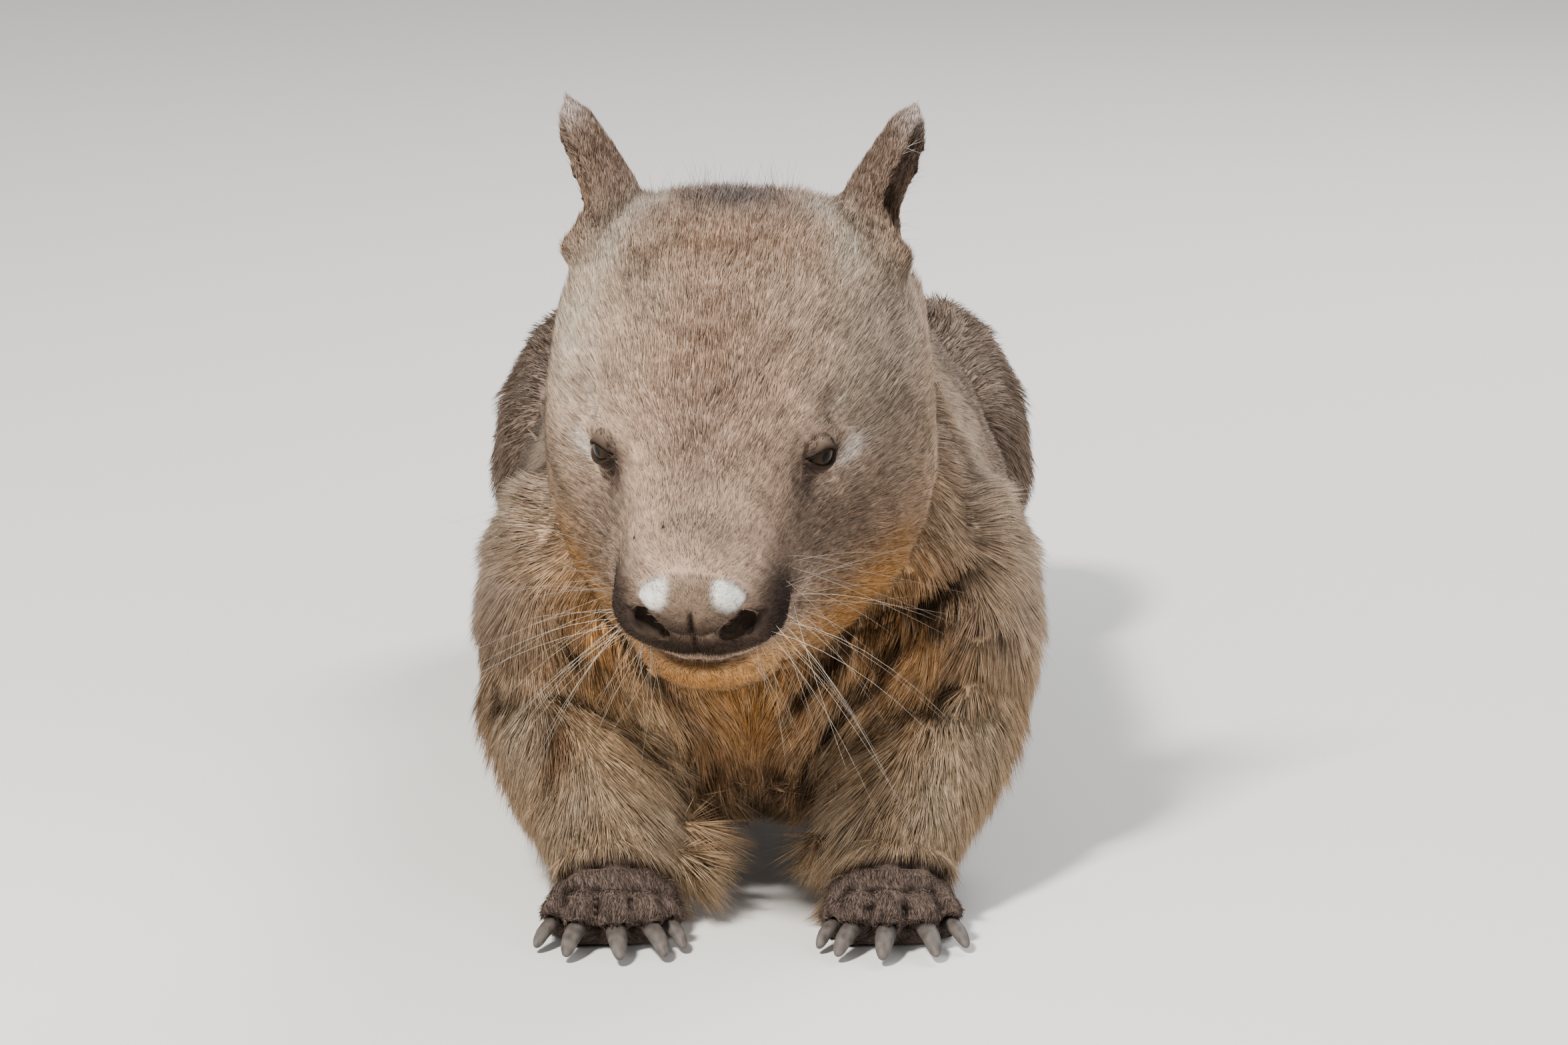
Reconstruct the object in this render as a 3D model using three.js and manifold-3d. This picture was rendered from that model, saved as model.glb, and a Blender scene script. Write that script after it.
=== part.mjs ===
// A southern hairy-nosed wombat, life size, crouched on its four feet with its head lowered and
// turned a little to its right. Millimetres, +Z up, the animal faces -Y and its left side is +X.
import * as THREE from "three";
import { mergeVertices } from "three/addons/utils/BufferGeometryUtils.js";
import Module from "manifold-3d";

const wasm = await Module();
wasm.setup();

// The gap that touching pieces keep between them.
const GAP = 0.3;

// Where the head hangs on the neck, and how it is turned. In the head's own frame +Y runs back
// along the mouth line and +Z is up, so a point "ahead" of the joint has a negative Y.
const HEAD = { joint: [-0.5, -232, 242.4], pitch: 31.5, yaw: -7.3 };

// The trunk and shoulders lean this far to the animal's left over the paws.
const SWAY = 3;

// Sections of the upper head, from the nose back: distance ahead of the neck joint, half width, top,
// bottom, the level where it is widest, and how square it is above and below that level.
const HEAD_SECTIONS = [
  { ahead: 210, half: 34, top: 52, bottom: -8, level: 20, square: 2.2, under: 2.2 },
  { ahead: 196, half: 36, top: 55, bottom: -11, level: 18, square: 2.2, under: 2.3 },
  { ahead: 182, half: 38, top: 58, bottom: -14, level: 16, square: 2.2, under: 2.3 },
  { ahead: 165, half: 41, top: 63, bottom: -20, level: 14, square: 2.1, under: 2.3 },
  { ahead: 148, half: 47, top: 68, bottom: -36, level: 4, square: 2.1, under: 2.5 },
  { ahead: 130, half: 56, top: 75, bottom: -60, level: -8, square: 2.1, under: 2.6 },
  { ahead: 110, half: 67, top: 82, bottom: -84, level: -16, square: 2.2, under: 2.8 },
  { ahead: 90, half: 77, top: 90, bottom: -100, level: -22, square: 2.4, under: 2.9 },
  { ahead: 70, half: 83, top: 97, bottom: -110, level: -25, square: 2.7, under: 2.9 },
  { ahead: 50, half: 86, top: 98, bottom: -111, level: -25, square: 2.9, under: 2.9 },
  { ahead: 25, half: 85, top: 96, bottom: -100, level: -18, square: 3.0, under: 2.6 },
  { ahead: 0, half: 81, top: 89, bottom: -78, level: -4, square: 2.8, under: 2.4 },
  { ahead: -30, half: 75, top: 76, bottom: -44, level: 10, square: 2.4, under: 2.2 },
];
const HEAD_CAPS = { front: 186, tip: 210, frontRings: 4, back: -5, end: -46, backRings: 2 };

// Soft lifts and dents on the head: where, how far they reach, and the way they push.
const HEAD_FORMS = [
  { name: "brow", at: [44, -112, 62], reach: 17, push: [3, -3, 5] },
  { name: "orbit", at: [50, -124, 43], reach: 13, push: [-5, 4, 0] },
  { name: "cheek bone", at: [68, -88, 20], reach: 24, push: [3, -4, 0] },
  { name: "whisker pad", at: [32, -188, 14], reach: 15, push: [3.5, -2, -1] },
  { name: "muzzle side", at: [42, -150, 36], reach: 16, push: [-4, 0, -2] },
  { name: "muzzle bridge", at: [0, -172, 62], reach: 24, push: [0, 0, 2.5] },
  { name: "nose root dip", at: [0, -142, 70], reach: 18, push: [0, 0, -2.5] },
  { name: "temple", at: [66, -58, 84], reach: 24, push: [-3, 0, -2] },
  { name: "jowl", at: [78, -64, -16], reach: 26, push: [3, -1, -2] },
];

// The lower jaw, in the head's frame, with the same kinds of section.
const JAW_SECTIONS = [
  { ahead: 196, half: 24, top: -2, bottom: -36, level: -16, square: 2.4, under: 2.0 },
  { ahead: 176, half: 33, top: -2, bottom: -48, level: -20, square: 2.4, under: 2.2 },
  { ahead: 145, half: 49, top: -4, bottom: -64, level: -28, square: 2.4, under: 2.3 },
  { ahead: 115, half: 63, top: -6, bottom: -84, level: -38, square: 2.4, under: 2.4 },
  { ahead: 70, half: 75, top: -8, bottom: -104, level: -46, square: 2.4, under: 2.5 },
];
const JAW_CAPS = { front: 176, tip: 196, frontRings: 3, back: 96, end: 70, backRings: 2 };

// The line of the mouth: a groove between the lips, as deep and as high as this.
const MOUTH = { level: -13, droop: 9, corner: 148, hinge: 88, deep: 5, high: 2 };

// The nose pad: a shield, wide above and narrow below, split by a groove, with a nostril each side.
const NOSE = { ahead: 196, level: 28.5, halfWide: 24, halfTall: 19, thick: 15, narrowing: 0.48 };
const NOSTRIL = { at: [19, -205, 21], radii: [8.5, 12, 4.6], tilt: 28, splay: 24 };
const NOSE_GROOVE = { wide: 1.5, deep: 7, from: 8, to: 29 };

// The eyes sit in sockets, under lids that follow the ball.
const EYE = { at: [43, -119, 43.5], radius: 8.5, lid: 3.1, out: 50, up: 10 };
const LIDS = { wide: 13, above: 3.1, below: 2.9, cant: -6 };

// The ears: a tall pointed cup on the back corner of the crown, open to the outside.
const EAR = { root: [57, -12, 58], tip: [77, 31, 113], across: 30, deep: 28.5, wall: 4 };

// The trunk from breast to rump, in the row's frame, in upright sections.
const TRUNK_SECTIONS = [
  { ahead: 308, half: 78, top: 190, bottom: 32, level: 105, square: 2.1, under: 2.1 },
  { ahead: 280, half: 92, top: 232, bottom: 28, level: 108, square: 2.1, under: 2.1 },
  { ahead: 240, half: 108, top: 264, bottom: 26, level: 108, square: 2.0, under: 2.1 },
  { ahead: 200, half: 117, top: 272, bottom: 26, level: 104, square: 1.95, under: 2.2 },
  { ahead: 150, half: 121, top: 266, bottom: 26, level: 100, square: 1.9, under: 2.2 },
  { ahead: 80, half: 124, top: 258, bottom: 24, level: 96, square: 1.9, under: 2.2 },
  { ahead: 0, half: 127, top: 250, bottom: 22, level: 88, square: 1.8, under: 2.3 },
  { ahead: -80, half: 129, top: 240, bottom: 22, level: 84, square: 1.8, under: 2.3 },
  { ahead: -160, half: 127, top: 224, bottom: 24, level: 84, square: 1.8, under: 2.2 },
  { ahead: -230, half: 120, top: 202, bottom: 29, level: 86, square: 1.85, under: 2.1 },
  { ahead: -290, half: 108, top: 178, bottom: 36, level: 92, square: 2.0, under: 2.1 },
  { ahead: -352, half: 90, top: 150, bottom: 46, level: 94, square: 2.0, under: 2.0 },
];
const TRUNK_CAPS = { front: 262, tip: 308, frontRings: 3, back: -245, end: -352, backRings: 4 };

// Where the trunk is parted: a point on each cut and the way the cut faces.
const NECK_CUT = { through: [0, -215, 190], facing: [0, -0.72, 0.69] };
const CHEST_CUT = { through: [0, -60, 150], facing: [0, -1, 0] };
const RUMP_CUT = { through: [0, 172, 150], facing: [0, -1, 0] };

// The left limbs; the right ones mirror them. Each stop has a centre and two radii.
const SHOULDER = { at: [82, -212, 112], radii: [50, 64, 82], lean: -12 };
const FOREARM = [
  { at: [82, -226, 84], across: 48, fore: 50 },
  { at: [74, -262, 62], across: 45, fore: 42 },
  { at: [65, -302, 42], across: 37, fore: 30 },
  { at: [61, -328, 26], across: 29, fore: 20 },
];
const THIGH = { at: [84, 190, 102], radii: [57, 96, 88], lean: 14 };
const SHANK = [
  { at: [98, 126, 76], across: 34, fore: 36 },
  { at: [103, 138, 50], across: 35, fore: 37 },
  { at: [98, 184, 28], across: 27, fore: 25 },
];

// Round regions that part a limb from the trunk and a paw from its limb.
const FORELEG_REGION = [
  { at: [86, -220, 104], radii: [60, 68, 86], lean: -12 },
  { at: [72, -290, 40], radii: [62, 82, 52], lean: 30 },
];
const FOREPAW_REGION = { at: [60, -362, 4], radii: [52, 46, 44], lean: 0 };
const HINDLEG_REGION = [
  { at: [86, 186, 94], radii: [62, 94, 84], lean: 14 },
  { at: [98, 150, 40], radii: [46, 72, 46], lean: 0 },
];
const HINDPAW_REGION = { at: [98, 128, 4], radii: [44, 76, 27], lean: 0 };

// A paw is a pad with toes in a fan; each toe has a root and an end, and most bear a claw.
const FOREPAW = {
  middle: [60, -344],
  pad: { length: 62, half: 30, top: 33, back: 32 },
  toeRadius: 8.2,
  toes: [
    { root: [-19, -6, 15], end: [-25, -19, 11], claw: 15, scale: 0.82 },
    { root: [-11, -12, 17], end: [-17, -29, 12], claw: 19, scale: 1 },
    { root: [0, -14, 18], end: [-2, -33, 12], claw: 20, scale: 1.06 },
    { root: [11, -12, 17], end: [15, -29, 12], claw: 19, scale: 1.02 },
    { root: [20, -4, 15], end: [26, -17, 11], claw: 16, scale: 0.86 },
  ],
};
const HINDPAW = {
  middle: [98, 138],
  pad: { length: 104, half: 27, top: 30, back: 66 },
  toeRadius: 7.2,
  toes: [
    { root: [-22, 2, 11], end: [-28, -8, 9], claw: 0, scale: 0.75 },
    { root: [-12, -16, 14], end: [-16, -34, 10], claw: 18, scale: 1 },
    { root: [-1, -20, 15], end: [-2, -39, 10], claw: 19, scale: 1 },
    { root: [10, -18, 14], end: [12, -36, 10], claw: 18, scale: 0.97 },
    { root: [20, -11, 13], end: [25, -27, 9], claw: 16, scale: 0.88 },
  ],
};
// Long hair hangs in flat tapered locks: under the breast, inside each forearm and behind the elbow.
// A row runs along its root line; turn and spread are degrees round the limb or the trunk.
const LOCK = { thick: 2.6, sunk: 7, tipShare: 0.28, curl: 0.16, seed: 41 };
const BREAST_ROWS = [
  { ahead: 297, turn: -90, spread: 110, count: 8, length: 25, width: 13 },
];
const FOREARM_ROWS = [
  { from: 0.3, to: 0.82, turn: 168, count: 4, length: 33, width: 12, hang: [-0.5, 0.05, -0.85] },
  { from: 0.22, to: 0.78, turn: 214, count: 4, length: 30, width: 12, hang: [-0.2, 0.5, -0.85] },
  { from: 0.16, to: 0.66, turn: 318, count: 4, length: 28, width: 13, hang: [0.3, 0.5, -0.8] },
];

const CLAW = { base: 5.2, flat: 0.82, bluntness: 0.5, sunk: 5, floor: 0.6 };

const TAIL = { root: [0, 322, 132], end: [0, 352, 94], radius: 12 };

// Colours: the grizzled coat, its ochre underside, bare skin, horn and eye.
const COLOURS = {
  coat: 0x8f7a68,
  face: 0x8b7a6c,
  ochre: 0xa56f42,
  nose: 0x6d5c52,
  ear: 0x75635a,
  paw: 0x5c4a40,
  claw: 0x6f6660,
  eye: 0x1d1511,
};

const radians = THREE.MathUtils.degToRad;
const formMiddle = new THREE.Vector3();

// A closed mesh as a solid; its own place in space may be given by a matrix.
function solid(geometry, matrix) {
  const bare = new THREE.BufferGeometry();
  bare.setAttribute("position", geometry.getAttribute("position").clone());
  if (geometry.index) bare.setIndex(geometry.index.clone());
  if (matrix) bare.applyMatrix4(matrix);
  const merged = mergeVertices(bare, 1e-4);
  const triVerts = new Uint32Array(merged.index.array);
  if (matrix && matrix.determinant() < 0)
    for (let i = 0; i < triVerts.length; i += 3)
      [triVerts[i + 1], triVerts[i + 2]] = [triVerts[i + 2], triVerts[i + 1]];
  const mesh = new wasm.Mesh({
    numProp: 3,
    vertProperties: new Float32Array(merged.attributes.position.array),
    triVerts,
  });
  mesh.merge();
  return new wasm.Manifold(mesh);
}

// The largest closed body of a solid: loose scraps that a cut leaves are dropped.
function largest(made) {
  const bodies = made.decompose();
  return bodies.reduce((best, b) => (b.volume() > best.volume() ? b : best), bodies[0]);
}

// A sphere whose rings of latitude are set out by a function of ring number and angle.
function ringed(rings, around, place) {
  const geometry = new THREE.SphereGeometry(1, around, rings);
  const position = geometry.getAttribute("position");
  const uv = geometry.getAttribute("uv");
  for (let i = 0; i < position.count; i += 1) {
    const ring = Math.round((1 - uv.getY(i)) * rings);
    const angle = (Math.round(uv.getX(i) * around) / around) * 2 * Math.PI;
    const atPole = ring === 0 || ring === rings;
    const p = place(ring, atPole ? 0 : angle);
    position.setXYZ(i, p.x, p.y, p.z);
  }
  return geometry;
}

// Distances along a body where its rings stand, closer together in the two round ends.
function ringStops(caps, middle) {
  const stops = [];
  for (let i = 0; i < caps.frontRings; i += 1) {
    const turn = ((i / caps.frontRings) * Math.PI) / 2;
    stops.push(caps.front + (caps.tip - caps.front) * Math.cos(turn));
  }
  for (let i = 0; i < middle; i += 1)
    stops.push(caps.front + ((caps.back - caps.front) * i) / middle);
  for (let i = 0; i <= caps.backRings; i += 1) {
    const turn = ((i / caps.backRings) * Math.PI) / 2;
    stops.push(caps.back + (caps.end - caps.back) * Math.sin(turn));
  }
  return stops;
}

// How far a section has closed in a round end: 1 in the middle of the body, 0 at its tip.
function capShare(ahead, caps) {
  const front = (ahead - caps.front) / (caps.tip - caps.front);
  const back = (ahead - caps.back) / (caps.end - caps.back);
  const into = Math.min(1, Math.max(0, front, back));
  return Math.sqrt(1 - into * into);
}

// A smooth run of all the sizes in a list of sections, read at any distance ahead.
function sectionReader(sections) {
  const keys = ["half", "top", "bottom", "level", "square", "under"];
  const rising = [...sections].sort((a, b) => a.ahead - b.ahead);
  const stops = Float32Array.from(rising, (s) => s.ahead);
  const values = Float32Array.from(rising.flatMap((s) => keys.map((k) => s[k])));
  const run = new THREE.CubicInterpolant(stops, values, keys.length);
  return (ahead) => {
    const found = run.evaluate(ahead);
    return Object.fromEntries(keys.map((k, i) => [k, found[i]]));
  };
}

const power = (value, exponent) => Math.sign(value) * Math.abs(value) ** exponent;

// A body lofted along Y through its sections; grow swells it by that much all over.
function lofted(sections, caps, { around, middle, grow = 0, forms = [] }) {
  const read = sectionReader(sections);
  const swollen = { ...caps, tip: caps.tip + grow, end: caps.end - grow };
  const stops = ringStops(swollen, middle);
  return ringed(stops.length - 1, around, (ring, angle) => {
    const ahead = stops[ring];
    const s = read(Math.min(caps.tip, Math.max(caps.end, ahead)));
    const share = capShare(ahead, swollen);
    const across = Math.cos(angle);
    const rise = Math.sin(angle);
    const height = rise > 0 ? s.top - s.level : s.level - s.bottom;
    const squareness = 2 / (rise > 0 ? s.square : s.under);
    const middleLevel = s.level + (1 - share) * ((s.top + s.bottom) / 2 - s.level) * 0.5;
    const p = new THREE.Vector3(
      share * (s.half + grow) * power(across, squareness),
      -ahead,
      middleLevel + share * (height + grow) * power(rise, squareness),
    );
    for (const form of forms) pushed(p, form);
    return p;
  });
}

// Moves a point by a soft form and by the form's mirror image.
function pushed(p, form) {
  const sides = form.at[0] === 0 ? [1] : [1, -1];
  for (const side of sides) {
    formMiddle.set(side * form.at[0], form.at[1], form.at[2]);
    const near = Math.exp(-p.distanceToSquared(formMiddle) / (form.reach * form.reach));
    p.x += side * form.push[0] * near;
    p.y += form.push[1] * near;
    p.z += form.push[2] * near;
  }
}

// A limb that follows a bent line of stops, with round ends; grow swells it.
function limb(stops, { around, along, grow = 0, mirror = 1 }) {
  const centres = new THREE.CatmullRomCurve3(stops.map((s) => new THREE.Vector3(...s.at)));
  const girths = new THREE.CatmullRomCurve3(
    stops.map((s) => new THREE.Vector3(s.across, s.fore, 0)),
  );
  const first = stops[0];
  const last = stops[stops.length - 1];
  const frameX = new THREE.Vector3(1, 0, 0);
  return ringed(along, around, (ring, angle) => {
    const t = ring / along;
    const inner = THREE.MathUtils.clamp((t - 0.14) / 0.72, 0, 1);
    const centre = centres.getPoint(inner);
    const girth = girths.getPoint(inner);
    const tangent = centres.getTangent(inner);
    const end = t < 0.14 ? (0.14 - t) / 0.14 : t > 0.86 ? (t - 0.86) / 0.14 : 0;
    const share = Math.cos((end * Math.PI) / 2);
    const bulge = Math.sin((end * Math.PI) / 2) * (t < 0.5 ? -first.fore : last.fore);
    centre.addScaledVector(tangent, bulge * 0.8 + Math.sign(bulge) * grow);
    const sideways = frameX.clone().addScaledVector(tangent, -tangent.x).normalize();
    const foreward = new THREE.Vector3().crossVectors(tangent, sideways).normalize();
    centre.addScaledVector(sideways, share * (girth.x + grow) * Math.cos(angle));
    centre.addScaledVector(foreward, -share * (girth.y + grow) * Math.sin(angle));
    centre.x *= mirror;
    return centre;
  });
}

// A ball stretched to three radii and leaned about X.
function stretchedBall(at, radii, around, rings, leanDegrees = 0) {
  const geometry = new THREE.SphereGeometry(1, around, rings);
  geometry.scale(...radii);
  geometry.rotateX(radians(leanDegrees));
  geometry.translate(...at);
  return geometry;
}

// Everything on the side of a plane that it faces, set back from it by half the gap.
function sideOf(cut, sense) {
  const reach = 1500;
  const facing = new THREE.Vector3(...cut.facing).normalize().multiplyScalar(sense);
  const box = new THREE.BoxGeometry(reach, reach, reach);
  box.translate(0, 0, reach / 2 + GAP / 2);
  const turn = new THREE.Quaternion().setFromUnitVectors(new THREE.Vector3(0, 0, 1), facing);
  const place = new THREE.Matrix4().compose(
    new THREE.Vector3(...cut.through),
    turn,
    new THREE.Vector3(1, 1, 1),
  );
  return solid(box, place);
}

const FLOOR = { through: [0, 0, -GAP / 2], facing: [0, 0, 1] };
const aboveFloor = sideOf(FLOOR, 1);

// Head frame to row frame.
const headPlace = new THREE.Matrix4().compose(
  new THREE.Vector3(...HEAD.joint),
  new THREE.Quaternion().setFromEuler(
    new THREE.Euler(radians(HEAD.pitch), 0, radians(HEAD.yaw), "ZXY"),
  ),
  new THREE.Vector3(1, 1, 1),
);

// The pieces of the head, in the head's own frame.

const headShape = (grow) =>
  solid(lofted(HEAD_SECTIONS, HEAD_CAPS, { around: 28, middle: 13, grow, forms: HEAD_FORMS }));

const jawShape = () => solid(lofted(JAW_SECTIONS, JAW_CAPS, { around: 16, middle: 3 }));

// The level between the lips, lower towards the corners of the mouth.
const lipLevel = (x) => MOUTH.level - (x / 40) ** 2 * MOUTH.droop * 0.5;

// A slab that reaches ahead from a given distance, between two levels that follow the lips.
function lipSlab(from, below, above, segments = 6) {
  const ahead = 300;
  const slab = new THREE.BoxGeometry(240, ahead - from, 1, segments, 1, 1);
  const position = slab.getAttribute("position");
  for (let i = 0; i < position.count; i += 1) {
    const x = position.getX(i) * Math.min(1, Math.abs(position.getX(i)) / 240 + 0.5);
    const y = position.getY(i) - (ahead + from) / 2;
    const level = lipLevel(Math.min(60, Math.abs(x)));
    position.setXYZ(i, x, y, level + (position.getZ(i) > 0 ? above : below));
  }
  return solid(slab);
}

// The nose pad: a stretched ball drawn in towards its lower end.
function noseShape(grow) {
  const ball = new THREE.SphereGeometry(1, 20, 10);
  const position = ball.getAttribute("position");
  for (let i = 0; i < position.count; i += 1) {
    const z = position.getZ(i);
    const narrow = 1 - NOSE.narrowing * Math.max(0, (0.35 - z) / 1.35);
    const flare = 1 + 0.1 * Math.exp(-(((z - 0.3) / 0.3) ** 2));
    const x = power(position.getX(i), 0.85) * narrow * flare;
    const y = power(position.getY(i), 0.9);
    position.setXYZ(
      i,
      x * (NOSE.halfWide + grow),
      y * (NOSE.thick + grow) - NOSE.ahead,
      power(z, 0.85) * (NOSE.halfTall + grow) + NOSE.level,
    );
  }
  return solid(ball);
}

function nostril(side) {
  const scoop = new THREE.SphereGeometry(1, 10, 6);
  scoop.scale(...NOSTRIL.radii);
  scoop.rotateY(radians(-NOSTRIL.tilt));
  scoop.rotateZ(radians(NOSTRIL.splay));
  scoop.translate(...NOSTRIL.at);
  const place = new THREE.Matrix4().makeScale(side, 1, 1);
  return solid(scoop, place);
}

function noseGroove() {
  const { wide, deep, from, to } = NOSE_GROOVE;
  const slot = new THREE.BoxGeometry(wide, 2 * deep, to - from);
  slot.rotateX(radians(-8));
  slot.translate(0, -NOSE.ahead - NOSE.thick, (from + to) / 2);
  return solid(slot);
}

// The way an eye looks out of the head.
function gaze(side) {
  const out = radians(EYE.out);
  const up = radians(EYE.up);
  return new THREE.Vector3(
    side * Math.sin(out) * Math.cos(up),
    -Math.cos(out) * Math.cos(up),
    Math.sin(up),
  );
}

function eyeBall(side, grow, around = 12, rings = 8) {
  const ball = new THREE.SphereGeometry(EYE.radius + grow, around, rings);
  ball.translate(side * EYE.at[0], EYE.at[1], EYE.at[2]);
  return solid(ball);
}

// The almond opening between the lids, cut straight out along the gaze.
function lidOpening(side) {
  const half = LIDS.wide / 2;
  const almond = new THREE.Shape();
  almond.moveTo(-half, 0);
  almond.quadraticCurveTo(0, 2 * LIDS.above, half, 0);
  almond.quadraticCurveTo(0, -2 * LIDS.below, -half, 0);
  const prism = new THREE.ExtrudeGeometry(almond, {
    depth: 30,
    bevelEnabled: false,
    curveSegments: 6,
  });
  prism.rotateZ(radians(side * LIDS.cant));
  const look = new THREE.Matrix4().lookAt(
    gaze(side),
    new THREE.Vector3(0, 0, 0),
    new THREE.Vector3(0, 0, 1),
  );
  look.setPosition(side * EYE.at[0], EYE.at[1], EYE.at[2]);
  return solid(prism, look);
}

// An ear: a leaf-shaped cone from root to tip; the scoop that hollows it opens outwards.
function earShape(side, grow, scoop = false) {
  const root = new THREE.Vector3(...EAR.root);
  const tip = new THREE.Vector3(...EAR.tip);
  const axis = tip.clone().sub(root);
  const length = axis.length();
  axis.normalize();
  const outward = new THREE.Vector3(0.86, -0.5, 0);
  outward.addScaledVector(axis, -outward.dot(axis)).normalize();
  const hindward = new THREE.Vector3().crossVectors(axis, outward).normalize();
  const rings = 8;
  const geometry = ringed(rings, 12, (ring, angle) => {
    const t = ring / rings;
    const height = scoop ? 0.1 + 0.9 * t : -0.18 + 1.18 * t;
    const taper = (1 - t) ** 0.8;
    const swell = Math.sqrt(Math.min(1, t / 0.3));
    const round = Math.min(1, Math.sqrt((1 - t) / 0.06));
    const inset = scoop ? EAR.wall : 0;
    const across = Math.max(0, (EAR.across * taper + 3.4 - inset) * swell * round + grow);
    const deep = Math.max(0, (EAR.deep * taper + 3.0 - inset) * swell * round + grow);
    const poleShare = t === 0 || t === 1 ? 0 : 1;
    const p = root.clone().addScaledVector(axis, height * length + (t === 1 ? grow : 0));
    if (scoop) p.addScaledVector(outward, EAR.deep * taper * 0.3 + 3.4);
    p.addScaledVector(hindward, poleShare * across * Math.cos(angle) * 0.62);
    p.addScaledVector(outward, poleShare * deep * Math.sin(angle));
    p.x *= side;
    return p;
  });
  return solid(side < 0 ? flipped(geometry) : geometry);
}

// Turns every face of a mesh round, after a mirroring.
function flipped(geometry) {
  const index = geometry.index;
  for (let i = 0; i < index.count; i += 3) {
    const b = index.getX(i + 1);
    index.setX(i + 1, index.getX(i + 2));
    index.setX(i + 2, b);
  }
  return geometry;
}

function mirrored(geometry, side) {
  return side < 0 ? flipped(geometry) : geometry;
}

// The limbs, paws and claws, in the row's frame.

// A named ball of the left side, or its mirror image, swollen by grow.
function roundPart({ at, radii, lean }, side, grow = 0, around = 14, rings = 8) {
  const [x, y, z] = at;
  const grown = radii.map((r) => r + grow);
  return solid(stretchedBall([side * x + SWAY, y, z], grown, around, rings, lean));
}

const limbPart = (stops, side) =>
  solid(mirrored(limb(stops, { around: 12, along: 7, mirror: side }), side));

const foreleg = (side) => roundPart(SHOULDER, side).add(limbPart(FOREARM, side));

const hindleg = (side) => roundPart(THIGH, side).add(limbPart(SHANK, side));

// Several round regions as one, swollen by grow.
function regionOf(parts, side, grow) {
  const [first, ...others] = parts.map((part) => roundPart(part, side, grow, 12, 7));
  return others.reduce((whole, other) => whole.add(other), first);
}

function toeStops(paw, toe, side) {
  const [mx, my] = paw.middle;
  const place = ([x, y, z]) => [side * (mx + x), my + y, z];
  const root = place(toe.root);
  const end = place(toe.end);
  const radius = paw.toeRadius * toe.scale;
  const knuckle = root.map((v, i) => (v + end[i]) / 2 + (i === 2 ? 2.5 : 0));
  return [
    { at: root, across: radius * 1.05, fore: radius },
    { at: knuckle, across: radius, fore: radius * 0.95 },
    { at: end, across: radius * 0.9, fore: radius * 0.78 },
  ];
}

function clawStops(paw, toe, side) {
  const [mx, my] = paw.middle;
  const root = new THREE.Vector3(...toe.root);
  const end = new THREE.Vector3(...toe.end);
  const way = end.clone().sub(root).setZ(0).normalize();
  const base = CLAW.base * toe.scale;
  const point = (reach, level) => {
    const p = end.clone().addScaledVector(way, reach);
    return [side * (mx + p.x), my + p.y, level];
  };
  const top = toe.end[2] - 1;
  return [
    { at: point(-CLAW.sunk, top), across: base, fore: base * CLAW.flat },
    { at: point(toe.claw * 0.45, top - 1.5), across: base * 0.92, fore: base * 0.74 },
    {
      at: point(toe.claw, CLAW.floor + base * 0.55),
      across: base * CLAW.bluntness,
      fore: base * 0.42,
    },
  ];
}

const clawShape = (paw, toe, side, grow = 0) =>
  solid(limb(clawStops(paw, toe, side), { around: 6, along: 5, grow })).intersect(aboveFloor);

function pawShape(paw, side, grow = 0) {
  const [mx, my] = paw.middle;
  const { length, half, top, back } = paw.pad;
  const sections = [
    { ahead: 26, half: half * 0.95, top: top * 0.66, bottom: -5, level: 8, square: 2.2, under: 2.4 },
    { ahead: 4, half, top: top * 0.92, bottom: -6, level: 9, square: 2.2, under: 2.4 },
    { ahead: -back * 0.5, half: half * 0.96, top, bottom: -6, level: 10, square: 2.2, under: 2.4 },
    { ahead: -back, half: half * 0.84, top: top * 1.05, bottom: -5, level: 12, square: 2.2, under: 2.3 },
  ];
  const caps = { front: 2, tip: 26, frontRings: 2, back: -back * 0.6, end: 26 - length - 10, backRings: 2 };
  const pad = lofted(sections, caps, { around: 12, middle: 2, grow });
  pad.translate(side * mx, my, 0);
  let made = solid(pad);
  for (const toe of paw.toes)
    made = made.add(solid(limb(toeStops(paw, toe, side), { around: 6, along: 4, grow })));
  return made.intersect(aboveFloor);
}

// The animal put together.

const model = new THREE.Group();
const headGroup = new THREE.Group();
headGroup.applyMatrix4(headPlace);
model.add(headGroup);

// Adds a solid as a named mesh to a group, in the group's own frame.
function place(group, name, made, colour, roughness = 0.85) {
  const mesh = largest(made).getMesh();
  const geometry = new THREE.BufferGeometry();
  geometry.setAttribute("position", new THREE.BufferAttribute(mesh.vertProperties, 3));
  geometry.setIndex(new THREE.BufferAttribute(mesh.triVerts, 1));
  geometry.computeVertexNormals();
  const material = new THREE.MeshStandardMaterial({ color: colour, roughness, metalness: 0 });
  const piece = new THREE.Mesh(geometry, material);
  piece.name = name;
  group.add(piece);
}

const SIDES = [
  ["left", 1],
  ["right", -1],
];

const moved = (made) => made.transform(headPlace.elements);

// Splits a solid by a region: what lies inside, and what is left outside past the gap.
function split(whole, region) {
  return [whole.intersect(region(-GAP / 2)), whole.subtract(region(GAP / 2))];
}

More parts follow.
